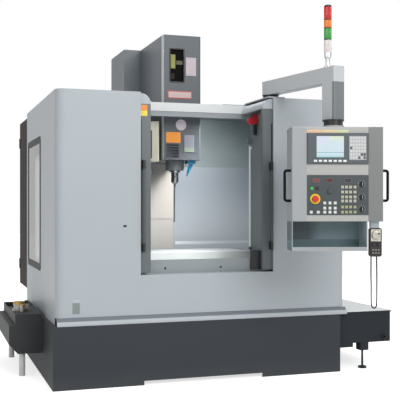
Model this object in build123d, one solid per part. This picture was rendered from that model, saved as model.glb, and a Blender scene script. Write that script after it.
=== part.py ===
from build123d import *
import os
from math import atan2, cos, degrees, hypot, pi, radians, sin, tan

# A vertical machining centre: sheet enclosure with two sliding doors and their roof hoods, a cast
# bed and column, a cross saddle and slotted table, a travelling head, a twin-arm tool changer with
# its magazine, coolant tanks and an operator's pendant on a swing arm.
# Working frame, millimetres: X runs right from the middle of the door opening, Y runs into the
# machine from the front panel, Z is up from the floor. The export shifts all of it, so that the
# origin is the middle of the footprint.

# Sheet enclosure
HOUSE_WIDTH = 2184
HOUSE_TOP = 2040
HOUSE_DEPTH = 1670
SHEET = 3
CORNER_RADIUS = 60
PANEL_FOOT = 480
OPENING_WIDTH = 1004
SILL_TOP = 760
FLANGE = 25
FLUSH = 0.3

# Base skirt
SKIRT_LEFT = -1118
SKIRT_RIGHT = 1029
SKIRT_FRONT = -40
SKIRT_BACK_INSET = 30
SKIRT_TOP = 430
SKIRT_WALL = 5
SKIRT_SHELF = 70
SKIRT_NOTCH = (-487, 398)
SKIRT_NOTCH_RISE = 30

# Door tunnel and header
TUNNEL_FRONT = 75
TUNNEL_DEPTH = 450
TUNNEL_FLOOR = 560
INNER_WALL = 330
TABLE_NOTCH = 895
DOOR_STOP = (355, 440)
JAMB_TOP = 1950
HEADER_BOTTOM = 1927
HEADER_TOP = 2030
HEADER_DEPTH = 40
HEADER_STRIP = 38
HEADER_STEP = 6
SILL_WALL_TOP = 858
SILL_WALL_FRONT = 97
LAMP_RADIUS = 6.5
LAMP_CAP = 25
LAMP_Z = (900, 1710)

# Sliding doors
DOOR_PLANE = 22
DOOR_THICK = 35
DOOR_REACH = 77
DOOR_WIDTH = 540
DOOR_BOTTOM = 775
STILE = 70
DOOR_GLASS_THICK = 6
DOOR_GLASS_BOTTOM = 1050
DOOR_GLASS_TOP = 1850
HOOD_BOTTOM = 1960
HOOD_RADIUS = 70
HOOD_LIP = 25
GRIP_BOTTOM = 923
GRIP_TOP = 1563
GRIP_END = 58
GRIP_WIDTH = 18
GRIP_STAND = 47

# Interior sheet metal
GUARD_SHARE = 0.2
GUARD_TOP = 1583
GUARD_KICK = 930
TRAY_FLOOR = 500
TRAY_EDGE = 610

# Side window
WINDOW_FRONT = 785
WINDOW_BACK_INSET = 100
WINDOW_BOTTOM = 750
WINDOW_TOP = 1775
WINDOW_SEAL = 30
WINDOW_RADIUS = 30

# Bed and column castings
BED_FRONT = 300
BED_BACK = 2050
BED_FOOT_HALF = 480
BED_TOP_HALF = 340
BED_BOTTOM = 60
BED_TOP = 560
WAY_RISE = 25
WAY_WIDTH = 90
COLUMN_FRONT = 1420
COLUMN_BACK = 1960
COLUMN_HEEL = 70
COLUMN_HALF = 290
COLUMN_FOOT_HALF = 400
COLUMN_BOTTOM = 620
COLUMN_WAIST = 1100
COLUMN_TOP = 2600
COLUMN_FILLET = 25
Z_SCREW_DROP = 220
Z_RAIL_BOTTOM = 960
Z_RAIL_DROP = 240
CHANNEL_HALF = 75
CHANNEL_DEPTH = 100
PAD_RADIUS = 55
PAD_HEIGHT = 22
PAD_STUD = 14
PAD_X = 390
PAD_ROWS = (400, 1150, 1900)

# Guide rails, carriages and screws
RAIL_WIDTH = 35
RAIL_HEIGHT = 30
CARRIAGE_WIDTH = 70
CARRIAGE_LENGTH = 110
CARRIAGE_HEIGHT = 50
RAIL_CLEAR = 0.3
SCREW_RADIUS = 16
SCREW_CLEAR = 0.3
JOURNAL_RADIUS = 12
JOURNAL_CLEAR = 0.05
MOTOR_SIZE = 100
MOTOR_LENGTH = 160
BEARING_THICK = 30

# Saddle and table
SPINDLE_Y = 855
Z_TRAVEL = 500
Y_RAIL_X = 260
SADDLE_HALF_LENGTH = 740
SADDLE_HALF_DEPTH = 230
SADDLE_CORE_HALF = 330
SADDLE_WING_HALF = 185
SADDLE_THICK = 100
X_RAIL_Y = 150
TABLE_LENGTH = 1100
TABLE_DEPTH = 510
TABLE_TOP = 880
TABLE_THICK = 56
TABLE_RIB_HALF = 220
SLOT_COUNT = 5
SLOT_PITCH = 100
SLOT_WIDTH = 18
SLOT_DEPTH = 22
SLOT_FOOT_WIDTH = 30
SLOT_FOOT_DEPTH = 14
APRON_LENGTH = 250
APRON_TOP = 703
APRON_DROP = 90

# Head
HEAD_HALF = 155
HEAD_FRONT = 650
HEAD_BACK = 1408
HEAD_BOTTOM = 1606
HEAD_TOP = 2590
HEAD_CORNER = 12
HEAD_ROOF_BACK = 1270
HEAD_WINDOW = (-100, 15)
HEAD_WINDOW_DROP = 109
HEAD_WINDOW_HEIGHT = 260
HEAD_VENT = (-133, -22)
HEAD_VENT_Z = (1624, 1733)
HEAD_VENT_SLOTS = 5
HEAD_BOX_SHARE = 0.33
HEAD_PLATE_SHARE = 0.58
Z_RAIL_X = 110
Z_SCREW_Y = 1400
Z_SCREW_RADIUS = 20
CARTRIDGE_RADIUS = 75
NOSE_FACE = 1515
NOSE_RADIUS = 44
CARTRIDGE_FACE = 1530
SPINDLE_SHAFT = 34
SPINDLE_MOTOR_SIZE = 200
SPINDLE_MOTOR_LIFT = 60
SPINDLE_MOTOR_DROP = 140
COUPLING_RADIUS = 45

# Tool holder
HOLDER_FLANGE = 31.5
HOLDER_GAP = 3
HOLDER_THICK = 26
HOLDER_CHUCK = 30
HOLDER_LENGTH = 85
CUTTER_RADIUS = 8
CUTTER_LENGTH = 30

# Tool changer
ARM_REACH = 300
ARM_THICK = 26
ARM_HALF_WIDTH = 34
ARM_HUB = 62
JAW_OUTER = 46
JAW_CLEAR = 2.5
ARM_SHAFT = 35
ARM_SPIGOT = 22
ARM_CAP = 8
CAM_LEFT = -420
CAM_RIGHT = -200
CAM_FRONT = 600
CAM_BACK = 1150
CAM_BOTTOM = 1590
CAM_TOP = 1900
MAGAZINE_Y = 980
MAGAZINE_Z = 1650
MAGAZINE_X = -880
MAGAZINE_PLATE = 20
POT_COUNT = 20
POT_CIRCLE = 295
POT_RADIUS = 36
POT_LENGTH = 120
POT_BORE = 23
MAGAZINE_STUB = 40
MAGAZINE_BEAM = 52

# Column covers below the head
COVER_HALF = 140
COVER_LAP = 10
COVER_HEM = 25
COVER_PITCH = 5.5

# Coolant tank, chip tank and pump
TANK_RIGHT = 1480
TANK_BACK = 1300
TANK_BOTTOM = 200
TANK_TOP = 440
TANK_WALL = 4
TANK_LEG_X = 1260
CHIP_LEFT = -1312
CHIP_LOBE = 43
CHIP_LOBE_Z = (240, 377)
CHIP_FRONT = 500
CHIP_BACK = 1400
CHIP_BOTTOM = 170
CHIP_TOP = 448
PUMP_X = -1255
PUMP_Y = 760
PUMP_RADIUS = 40
PUMP_HEIGHT = 66

# Electrical cabinet
CABINET_DEPTH = 560
CABINET_BOTTOM = 530
CABINET_TOP = 2000
CABINET_RIGHT = -420
CABINET_DOOR = 25
SWITCH_RADIUS = 38
HINGE_INSET = 180
HINGE_LENGTH = 90
HINGE_RADIUS = 7

# Pendant, in its own frame: u to the right, v backwards from its face, w up from the floor
PENDANT_X = 606
PENDANT_Y = -800
PENDANT_YAW = -16
PENDANT_WIDTH = 596
PENDANT_TOP = 1757
PENDANT_FOOT = 1143
PENDANT_DEPTH = 240
FACE_THICK = 12
TRAY_BOTTOM = 952
TRAY_RIGHT = 195
TRAY_LIP = 26
TRAY_WALL = 5
DISPLAY = (-200, 200)
DISPLAY_Z = (1515, 1716)
DISPLAY_RISE = 14
SCREEN = (-141, 40)
SCREEN_Z = (1557, 1697)
KEYPAD = (72, 185)
KEYPAD_Z = (1541, 1697)
PANEL = (-200, 201)
PANEL_Z = (1185, 1444)
PANEL_RISE = 4
KEY_SIZE = 18
KEY_RISE = 5
KNOB_U = 156
KNOB_ROWS = (1386, 1302, 1224)
KNOB_RADIUS = 17
KNOB_RISE = 22
KNOB_STEM = 6
STOP_U = -148
STOP_Z = 1289
STOP_RING = 32
STOP_CAP = 20
BUTTON_RADIUS = 11
BUTTON_RISE = 9
START_U = -170
HOLD_U = -134
BUTTON_Z = 1357
HANDLE_Z = (1269, 1483)
HANDLE_REACH = 50
HANDLE_BAR = 9
HANDLE_V = 45
WHEELBOX_U = 252
WHEELBOX_V = (10, 50)
WHEELBOX_Z = (914, 1100)
WHEELBOX_WIDTH = 80
DIAL_RADIUS = 27
DIAL_Z = 1055
CORD_RADIUS = 4

# Swing arm and signal tower
PIVOT_X = 530
PIVOT_Y = 120
ARM_TOP = 2175
ARM_BOTTOM = 2072
ARM_WIDTH = 90
ARM_DROP_BOTTOM = 1820
ARM_DROP_LENGTH = 130
SWIVEL_U = 10
SWIVEL_V = 190
SWIVEL_RADIUS = 72
SWIVEL_PIN = 22
BASE_RADIUS = 62
BRIDGE_THICK = 8
TOWER_RADIUS = 26
TOWER_TIERS = (2279, 2370, 2448, 2505, 2594)
TOWER_TOP = 2604

# Sizes that follow from the ones above
HALF = HOUSE_WIDTH / 2
OPEN_HALF = OPENING_WIDTH / 2
INNER_HALF = HALF - SHEET
GUARD_SLOT = HEAD_HALF + 7
BACK_INNER = HOUSE_DEPTH - SHEET
SKIRT_BACK = HOUSE_DEPTH - SKIRT_BACK_INSET
WINDOW_BACK = HOUSE_DEPTH - WINDOW_BACK_INSET
CABINET_BACK = HOUSE_DEPTH + CABINET_DEPTH
MAGAZINE_END = MAGAZINE_Y + POT_CIRCLE + POT_RADIUS
GUARD_PLANE = MAGAZINE_END + GUARD_SHARE * (HOUSE_DEPTH - MAGAZINE_END)
HEAD_WINDOW_Z = (HEAD_TOP - HEAD_WINDOW_DROP - HEAD_WINDOW_HEIGHT, HEAD_TOP - HEAD_WINDOW_DROP)
HEAD_BOX_TOP = HEAD_BOTTOM + HEAD_BOX_SHARE * (HEAD_TOP - HEAD_BOTTOM)
SPINDLE_MOTOR_BOTTOM = HEAD_BOX_TOP + SPINDLE_MOTOR_LIFT
SPINDLE_MOTOR_TOP = HEAD_TOP - SPINDLE_MOTOR_DROP
Z_SCREW_TOP = COLUMN_TOP - Z_SCREW_DROP
HEAD_PLATE_TOP = HEAD_BOX_TOP + HEAD_PLATE_SHARE * (Z_SCREW_TOP - HEAD_BOX_TOP)
WAY_TOP = BED_TOP + WAY_RISE
SADDLE_BOTTOM = WAY_TOP + CARRIAGE_HEIGHT
SADDLE_TOP = SADDLE_BOTTOM + SADDLE_THICK
RIB_BOTTOM = SADDLE_TOP + CARRIAGE_HEIGHT
TABLE_BOTTOM = TABLE_TOP - TABLE_THICK
X_SCREW_Z = SADDLE_TOP + CARRIAGE_HEIGHT / 2
Y_SCREW_Z = WAY_TOP + CARRIAGE_HEIGHT / 2
DOOR_LEADING = OPEN_HALF - DOOR_REACH
HEAD_PLATE_BACK = COLUMN_FRONT - CARRIAGE_HEIGHT
HEAD_PLATE_FRONT = HEAD_PLATE_BACK - 40
BEARING_TOP = Y_SCREW_Z + 18
COVER_BOTTOM = BEARING_TOP + 2
HOLDER_TOP = NOSE_FACE - HOLDER_GAP
HOLDER_MIDDLE = HOLDER_TOP - HOLDER_THICK / 2
ARM_X = -ARM_REACH
JAW_INNER = HOLDER_FLANGE + JAW_CLEAR
TANK_LEFT = SKIRT_RIGHT


def block(x, y, z):
    """A box from three pairs, each a lowest and a highest coordinate."""
    middle = Pos((x[0] + x[1]) / 2, (y[0] + y[1]) / 2, (z[0] + z[1]) / 2)
    return middle * Box(x[1] - x[0], y[1] - y[0], z[1] - z[0])


def around(middle, half):
    """The pair that lies evenly about a middle value."""
    return (middle - half, middle + half)


def upright(x, y, z, radius):
    """A vertical cylinder between two heights."""
    return Pos(x, y, (z[0] + z[1]) / 2) * Cylinder(radius, z[1] - z[0])


def along_x(x, y, z, radius):
    """A cylinder that runs along X between two places."""
    return Pos((x[0] + x[1]) / 2, y, z) * Rot(0, 90, 0) * Cylinder(radius, x[1] - x[0])


def along_y(x, y, z, radius):
    """A cylinder that runs along Y between two places."""
    return Pos(x, (y[0] + y[1]) / 2, z) * Rot(90, 0, 0) * Cylinder(radius, y[1] - y[0])


def plan(points, z):
    """A vertical prism over an outline given in X and Y, between two heights."""
    face = make_face(Polyline(*[(x, y, z[0]) for x, y in points], close=True))
    return extrude(face, z[1] - z[0], dir=(0, 0, 1))


def front_view(points, y):
    """A prism along Y over an outline given in X and Z."""
    face = make_face(Polyline(*[(x, y[0], z) for x, z in points], close=True))
    return extrude(face, y[1] - y[0], dir=(0, 1, 0))


def side_view(points, x):
    """A prism along X over an outline given in Y and Z."""
    face = make_face(Polyline(*[(x[0], y, z) for y, z in points], close=True))
    return extrude(face, x[1] - x[0], dir=(1, 0, 0))


def flip(shape):
    """The same shape on the other side of the middle of the door opening."""
    return mirror(shape, Plane.YZ)


def solids(*shapes):
    """All the solids in some shapes, as one list."""
    found = []
    for shape in shapes:
        found += list(shape.solids())
    return found


def rounded_plan(x, y, z, radius):
    """An upright box whose four vertical edges are rounded."""
    flat = RectangleRounded(x[1] - x[0], y[1] - y[0], radius)
    return Pos((x[0] + x[1]) / 2, (y[0] + y[1]) / 2, z[0]) * extrude(flat, z[1] - z[0])


# Enclosure


def front_panel():
    """The folded front: two wide wings and the low wall between them, with a sloped foot flange."""
    back = CORNER_RADIUS + SHEET
    wide = rounded_plan((-HALF, HALF), (0, 2 * back), (PANEL_FOOT, HOUSE_TOP), CORNER_RADIUS)
    inner = rounded_plan(
        (-INNER_HALF, INNER_HALF), (SHEET, 2 * back - SHEET), (PANEL_FOOT, HOUSE_TOP), CORNER_RADIUS - SHEET
    )
    skin = wide - inner - block((-HALF, HALF), (back, 2 * back + 1), (PANEL_FOOT, HOUSE_TOP))
    skin -= block((-OPEN_HALF, OPEN_HALF), (-1, SHEET + 1), (SILL_TOP, HOUSE_TOP))
    shelf = block(
        (-OPEN_HALF, OPEN_HALF), (SHEET, SILL_WALL_FRONT), (SILL_TOP - SHEET, SILL_TOP)
    )
    hem = block((OPEN_HALF, OPEN_HALF + SHEET), (SHEET, DOOR_PLANE - 7), (SILL_TOP - SHEET, HOUSE_TOP))
    rim = block((OPEN_HALF + SHEET, HALF - CORNER_RADIUS), (SHEET, FLANGE), (HOUSE_TOP - SHEET, HOUSE_TOP))
    # the door slides behind the rim, so the rim stops in front of the door's own plane
    rim &= block((0, HALF), (0, DOOR_PLANE - 7), (0, HOUSE_TOP))
    slope = SKIRT_FRONT + SHEET
    foot = side_view(
        [
            (0, PANEL_FOOT),
            (SHEET, PANEL_FOOT),
            (slope + SHEET, SKIRT_TOP + 12),
            (slope + SHEET, SKIRT_TOP),
            (slope, SKIRT_TOP),
            (slope, SKIRT_TOP + 14),
        ],
        (-INNER_HALF, INNER_HALF),
    )
    return solids(skin + shelf + hem + flip(hem) + rim + flip(rim) + foot)


def side_panels():
    """The two side sheets with their folded edges; the left one has the window's hole."""
    front = CORNER_RADIUS + SHEET
    sheet = block((INNER_HALF, HALF), (front, HOUSE_DEPTH), (SKIRT_TOP, HOUSE_TOP))
    top = block((INNER_HALF - FLANGE, INNER_HALF), (front, HOUSE_DEPTH), (HOUSE_TOP - SHEET, HOUSE_TOP))
    edge = block((INNER_HALF - FLANGE, INNER_HALF), (BACK_INNER, HOUSE_DEPTH), (SKIRT_TOP, HOUSE_TOP - SHEET))
    right = sheet + top + edge
    hole = Pos(0, (WINDOW_FRONT + WINDOW_BACK) / 2, (WINDOW_BOTTOM + WINDOW_TOP) / 2) * extrude(
        Plane.YZ * RectangleRounded(WINDOW_BACK - WINDOW_FRONT, WINDOW_TOP - WINDOW_BOTTOM, WINDOW_RADIUS),
        -HOUSE_WIDTH,
    )
    return solids(right, flip(right) - hole)


def side_window():
    """The pane of the left side and the rubber seal that holds it in its hole."""
    size_y = WINDOW_BACK - WINDOW_FRONT
    size_z = WINDOW_TOP - WINDOW_BOTTOM
    middle = Pos(-HALF, (WINDOW_FRONT + WINDOW_BACK) / 2, (WINDOW_BOTTOM + WINDOW_TOP) / 2)
    outer = RectangleRounded(size_y, size_z, WINDOW_RADIUS)
    opening = RectangleRounded(size_y - 2 * WINDOW_SEAL, size_z - 2 * WINDOW_SEAL, WINDOW_RADIUS)
    seal = middle * extrude(Plane.YZ * (outer - opening), SHEET)
    pane = middle * extrude(Plane.YZ * opening, SHEET)
    return solids(seal + pane)


def rear_roof_panels():
    """Sheets that close the back beside the column and the top beside the head."""
    inner = INNER_HALF - FLANGE
    gap = COLUMN_HALF + FLUSH
    back = block((gap, inner), (BACK_INNER, HOUSE_DEPTH), (COLUMN_WAIST, HOUSE_TOP))
    low = block((COLUMN_FOOT_HALF + 15, inner), (BACK_INNER, HOUSE_DEPTH), (SKIRT_TOP, COLUMN_WAIST))
    front = TUNNEL_DEPTH + HEADER_DEPTH
    roof = block((gap, inner), (front, BACK_INNER), (HOUSE_TOP - SHEET, HOUSE_TOP))
    curb = block((gap, gap + SHEET), (front, BACK_INNER), (HOUSE_TOP - 30, HOUSE_TOP - SHEET))
    pieces = [back, low, roof + curb]
    return solids(*pieces, *[flip(piece) for piece in pieces])


def base_skirt():
    """The dark plinth: four folded walls with a shelf that the panels stand on."""
    outside = block((SKIRT_LEFT, SKIRT_RIGHT), (SKIRT_FRONT, SKIRT_BACK), (0, SKIRT_TOP))
    inside = block(
        (SKIRT_LEFT + SKIRT_WALL, SKIRT_RIGHT - SKIRT_WALL),
        (SKIRT_FRONT + SKIRT_WALL, SKIRT_BACK - SKIRT_WALL),
        (0, SKIRT_TOP - SKIRT_WALL),
    )
    hatch = block(
        (SKIRT_LEFT + SKIRT_SHELF, SKIRT_RIGHT - SKIRT_SHELF),
        (SKIRT_FRONT + SKIRT_SHELF + 40, SKIRT_BACK - SKIRT_SHELF),
        (0, SKIRT_TOP),
    )
    wall = outside - inside - hatch
    wall -= block(SKIRT_NOTCH, (SKIRT_FRONT, 0), (0, SKIRT_NOTCH_RISE))
    # the bed runs out through the back wall
    doorway = BED_FOOT_HALF + 10
    wall -= block((-doorway, doorway), (SKIRT_BACK - SKIRT_SHELF, SKIRT_BACK), (0, SKIRT_TOP))
    ledge = block((SKIRT_RIGHT, HALF), (SKIRT_FRONT, SKIRT_BACK), (SKIRT_TOP - SKIRT_WALL, SKIRT_TOP))
    back_ledge = block(
        (doorway, HALF), (SKIRT_BACK, HOUSE_DEPTH), (SKIRT_TOP - SKIRT_WALL, SKIRT_TOP)
    )
    return solids(wall + ledge + back_ledge + flip(back_ledge))


def door_jambs():
    """The side walls of the door tunnel, each folded outwards behind the open door."""
    # the table and saddle come forward below the notch, so the wall stops short of them there
    low = block((OPEN_HALF - SHEET, OPEN_HALF), (SILL_WALL_FRONT + SHEET, INNER_WALL), (TUNNEL_FLOOR, JAMB_TOP))
    high = block((OPEN_HALF - SHEET, OPEN_HALF), (SILL_WALL_FRONT + SHEET, TUNNEL_DEPTH), (TABLE_NOTCH, JAMB_TOP))
    lead = block((OPEN_HALF - SHEET, OPEN_HALF), (TUNNEL_FRONT, SILL_WALL_FRONT + SHEET), (SILL_TOP, JAMB_TOP))
    wing = block((OPEN_HALF, INNER_HALF), (INNER_WALL - SHEET, INNER_WALL), (TUNNEL_FLOOR, JAMB_TOP))
    stop = block(DOOR_STOP, (SILL_WALL_FRONT - 27, SILL_WALL_FRONT), (SILL_TOP + 15, SILL_TOP + 155))
    bracket = block((OPEN_HALF - 45, OPEN_HALF - SHEET), (405, 440), (1725, 1765))
    right = low + high + lead + wing
    return solids(right + bracket, flip(right), stop)


def door_header():
    """The cross beam behind the doors, a folded section whose lower strip is set back."""
    front = TUNNEL_DEPTH
    back = front + HEADER_DEPTH
    step_z = HEADER_BOTTOM + HEADER_STRIP
    step_y = front + HEADER_STEP
    outer = [
        (front, HEADER_TOP),
        (front, step_z),
        (step_y, step_z),
        (step_y, HEADER_BOTTOM),
        (back, HEADER_BOTTOM),
        (back, HEADER_TOP),
    ]
    return solids(side_view(outer, (-INNER_HALF, INNER_HALF)))


def inner_guards():
    """The light sheets inside: sill wall, front floor, sloped side trays, rear guard, low cover."""
    hinge = OPEN_HALF - SHEET
    sill = block((-hinge, hinge), (SILL_WALL_FRONT, SILL_WALL_FRONT + SHEET), (TRAY_FLOOR, SILL_WALL_TOP))
    cap = block((-hinge, hinge), (SILL_WALL_FRONT + SHEET, SILL_WALL_FRONT + 30), (SILL_WALL_TOP - SHEET, SILL_WALL_TOP))
    floor = block((-hinge, hinge), (SILL_WALL_FRONT + SHEET, INNER_WALL), (TRAY_FLOOR, TRAY_FLOOR + SHEET))
    bed = BED_TOP_HALF + 20
    floor -= block((-bed, bed), (BED_FRONT - 2, INNER_WALL + 1), (0, BED_TOP))
    slope = front_view(
        [
            (bed, TRAY_FLOOR),
            (INNER_HALF, TRAY_EDGE),
            (INNER_HALF, TRAY_EDGE + SHEET),
            (bed, TRAY_FLOOR + SHEET),
        ],
        (INNER_WALL, GUARD_PLANE),
    )
    rear = side_view(
        [
            (GUARD_PLANE, TRAY_FLOOR),
            (GUARD_PLANE, GUARD_KICK - 25),
            (GUARD_PLANE + 10, GUARD_KICK),
            (GUARD_PLANE + 10, GUARD_TOP),
            (GUARD_PLANE + 10 + SHEET, GUARD_TOP),
            (GUARD_PLANE + 10 + SHEET, GUARD_KICK - 1),
            (GUARD_PLANE + SHEET, GUARD_KICK - 26),
            (GUARD_PLANE + SHEET, TRAY_FLOOR),
        ],
        (GUARD_SLOT, INNER_HALF),
    )
    # the bed and the column's foot stand in front of the guard's lower inner corner
    rear -= block((0, COLUMN_FOOT_HALF + 2), (GUARD_PLANE - 1, GUARD_PLANE + 20), (0, COLUMN_BOTTOM + 2))
    flange = (GUARD_PLANE + 10, GUARD_PLANE + 10 + FLANGE)
    top_flange = block((GUARD_SLOT, INNER_HALF), flange, (GUARD_TOP, GUARD_TOP + SHEET))
    sides = [slope, rear, top_flange]
    return solids(sill + cap, floor, *sides, *[flip(piece) for piece in sides])


def work_light():
    """A slim lamp tube with its two end caps, upright at the back edge of the right jamb."""
    x = OPEN_HALF - SHEET - 14
    y = TUNNEL_DEPTH - 25
    low, high = LAMP_Z
    tube = upright(x, y, (low + LAMP_CAP, high - LAMP_CAP), LAMP_RADIUS)
    caps = [upright(x, y, (z, z + LAMP_CAP), LAMP_RADIUS + 3) for z in (low, high - LAMP_CAP)]
    foot = block((x, OPEN_HALF - SHEET), around(y, 8), (low + 5, low + 20))
    head = block((x, OPEN_HALF - SHEET), around(y, 8), (high - 20, high - 5))
    return solids(tube + caps[0] + caps[1] + foot + head)


def door_interlock():
    """The door switch on the right jamb: a black body, a red oblong cap and its stem."""
    wall = OPEN_HALF - SHEET
    body = block((wall - 40, wall), (300, 345), (1880, 1945))
    cap = Pos(wall - 44, 302, 1893) * extrude(Plane.XZ * SlotOverall(84, 50), 20)
    stem = block((wall - 24, wall - 6), (305, 335), (1790, 1880))
    return solids(body + cap + stem)


# Sliding doors


def left_door():
    """A framed leaf with its window hole, the roof hood above it, and the long grip as a piece."""
    lead = -DOOR_LEADING
    tail = lead - DOOR_WIDTH
    leaf = block((tail, lead), (DOOR_PLANE, DOOR_PLANE + DOOR_THICK), (DOOR_BOTTOM, HOOD_BOTTOM))
    leaf -= block(
        (tail + STILE, lead - STILE),
        (DOOR_PLANE, DOOR_PLANE + DOOR_THICK),
        (DOOR_GLASS_BOTTOM, DOOR_GLASS_TOP),
    )
    roof_top = HEADER_TOP + FLUSH + SHEET
    profile = make_face(
        Polyline(
            (tail, DOOR_PLANE, HOOD_BOTTOM),
            (lead, DOOR_PLANE, HOOD_BOTTOM),
            (lead, DOOR_PLANE, roof_top),
            (tail, DOOR_PLANE, roof_top),
            close=True,
        )
    )
    shell = extrude(profile, TUNNEL_DEPTH - 4 - DOOR_PLANE, dir=(0, 1, 0))
    corner = shell.edges().filter_by(Axis.Y).group_by(Axis.X)[-1].sort_by(Axis.Z)[-1]
    shell = fillet(corner, HOOD_RADIUS)
    hollow = extrude(
        make_face(
            Polyline(
                (tail - 1, DOOR_PLANE + SHEET, HOOD_BOTTOM - 1),
                (lead - SHEET, DOOR_PLANE + SHEET, HOOD_BOTTOM - 1),
                (lead - SHEET, DOOR_PLANE + SHEET, roof_top - SHEET),
                (tail - 1, DOOR_PLANE + SHEET, roof_top - SHEET),
                close=True,
            )
        ),
        TUNNEL_DEPTH,
        dir=(0, 1, 0),
    )
    corner = hollow.edges().filter_by(Axis.Y).group_by(Axis.X)[-1].sort_by(Axis.Z)[-1]
    hollow = fillet(corner, HOOD_RADIUS - SHEET)
    lip = block(
        (tail, lead - HOOD_RADIUS),
        (TUNNEL_DEPTH - 4, TUNNEL_DEPTH + HOOD_LIP),
        (roof_top - SHEET, roof_top),
    )
    leaf_and_hood = leaf + (shell - hollow) + lip
    return solids(leaf_and_hood) + solids(door_grip())


def door_grip():
    """A long flat bar on two end blocks, standing off the leaf's stile."""
    x = (-OPEN_HALF + 10, -OPEN_HALF + 10 + GRIP_WIDTH)
    bar = block(x, (DOOR_PLANE - GRIP_STAND, DOOR_PLANE - GRIP_STAND + 14), (GRIP_BOTTOM, GRIP_TOP))
    ends = [
        block(x, (DOOR_PLANE - GRIP_STAND + 14, DOOR_PLANE), (GRIP_BOTTOM, GRIP_BOTTOM + GRIP_END)),
        block(x, (DOOR_PLANE - GRIP_STAND + 14, DOOR_PLANE), (GRIP_TOP - GRIP_END, GRIP_TOP)),
    ]
    grip = bar + ends[0] + ends[1]
    return fillet(grip.edges().filter_by(Axis.Z).group_by(Axis.Y)[0], 5)


def left_door_glass():
    """The pane, held in the middle of the leaf's thickness."""
    lead = -DOOR_LEADING
    middle = DOOR_PLANE + DOOR_THICK / 2
    return solids(
        block(
            (lead - DOOR_WIDTH + STILE, lead - STILE),
            around(middle, DOOR_GLASS_THICK / 2),
            (DOOR_GLASS_BOTTOM, DOOR_GLASS_TOP),
        )
    )


# Castings and guides


def base_casting():
    """The bed: a flared casting with two raised ways, a screw trough and a platform behind."""
    outline = [
        (-BED_FOOT_HALF, BED_BOTTOM),
        (BED_FOOT_HALF, BED_BOTTOM),
        (BED_FOOT_HALF, BED_BOTTOM + 90),
        (BED_TOP_HALF, BED_BOTTOM + 260),
        (BED_TOP_HALF, BED_TOP),
        (-BED_TOP_HALF, BED_TOP),
        (-BED_TOP_HALF, BED_BOTTOM + 260),
        (-BED_FOOT_HALF, BED_BOTTOM + 90),
    ]
    body = front_view(outline, (BED_FRONT, BED_BACK))
    hollow_half = BED_TOP_HALF - 45
    body -= block((-hollow_half, hollow_half), (BED_FRONT + 60, BED_BACK - 60), (BED_BOTTOM, BED_TOP - 60))
    body += block((-hollow_half, hollow_half), around(SPINDLE_Y, 15), (BED_BOTTOM, BED_TOP - 60))
    platform_half = COLUMN_FOOT_HALF
    body += block((-platform_half, platform_half), (COLUMN_FRONT, BED_BACK), (BED_TOP - 40, COLUMN_BOTTOM))
    ways = []
    for side in (-1, 1):
        ways.append(
            block(around(side * Y_RAIL_X, WAY_WIDTH / 2), (BED_FRONT + 80, COLUMN_FRONT - 70), (BED_TOP, WAY_TOP))
        )
    for low, high in (
        (BED_FRONT, BED_FRONT + BEARING_THICK),
        (COLUMN_FRONT - 70, COLUMN_FRONT - 70 + BEARING_THICK),
    ):
        body += block((-60, 60), (low, high), (BED_TOP, BEARING_TOP))
    body -= along_y(0, (BED_FRONT, COLUMN_FRONT), Y_SCREW_Z, JOURNAL_RADIUS + JOURNAL_CLEAR)
    return solids(body, *ways)


def leveling_feet():
    """Round pads on the floor with threaded studs that carry the bed."""
    feet = []
    for y in PAD_ROWS:
        for x in (-PAD_X, PAD_X):
            pad = upright(x, y, (0, PAD_HEIGHT), PAD_RADIUS)
            pad = chamfer(pad.edges().group_by(Axis.Z)[-1], 5)
            stud = upright(x, y, (PAD_HEIGHT, BED_BOTTOM), PAD_STUD)
            feet += solids(pad + stud)
    return feet


def column():
    """The column: flared at its foot, leaning in behind, with a channel for the vertical screw."""
    front = front_view(
        [
            (-COLUMN_FOOT_HALF, COLUMN_BOTTOM),
            (COLUMN_FOOT_HALF, COLUMN_BOTTOM),
            (COLUMN_HALF, COLUMN_WAIST),
            (COLUMN_HALF, COLUMN_TOP),
            (-COLUMN_HALF, COLUMN_TOP),
            (-COLUMN_HALF, COLUMN_WAIST),
        ],
        (COLUMN_FRONT, COLUMN_BACK + COLUMN_HEEL),
    )
    side = side_view(
        [
            (COLUMN_FRONT, COLUMN_BOTTOM),
            (COLUMN_BACK + COLUMN_HEEL, COLUMN_BOTTOM),
            (COLUMN_BACK, COLUMN_WAIST),
            (COLUMN_BACK, COLUMN_TOP),
            (COLUMN_FRONT, COLUMN_TOP),
        ],
        (-COLUMN_FOOT_HALF, COLUMN_FOOT_HALF),
    )
    body = front & side
    uprights = body.edges().filter_by(Axis.Z).group_by(Axis.Y)[-1]
    body = fillet(uprights, COLUMN_FILLET)
    floor = COLUMN_BOTTOM + 130
    body -= block((-CHANNEL_HALF, CHANNEL_HALF), (COLUMN_FRONT, COLUMN_FRONT + CHANNEL_DEPTH), (floor, COLUMN_TOP))
    core_half = COLUMN_HALF - 60
    body -= block(
        (-core_half, core_half),
        (COLUMN_FRONT + CHANNEL_DEPTH + 40, COLUMN_BACK - 40),
        (COLUMN_BOTTOM, COLUMN_TOP - 40),
    )
    for low, high in ((floor, floor + BEARING_THICK), (Z_SCREW_TOP, Z_SCREW_TOP + BEARING_THICK)):
        body += block((-60, 60), (Z_SCREW_Y - 18, COLUMN_FRONT + CHANNEL_DEPTH), (low, high))
    body -= upright(0, Z_SCREW_Y, (floor, Z_SCREW_TOP + BEARING_THICK), JOURNAL_RADIUS + JOURNAL_CLEAR)
    return solids(body)


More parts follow.
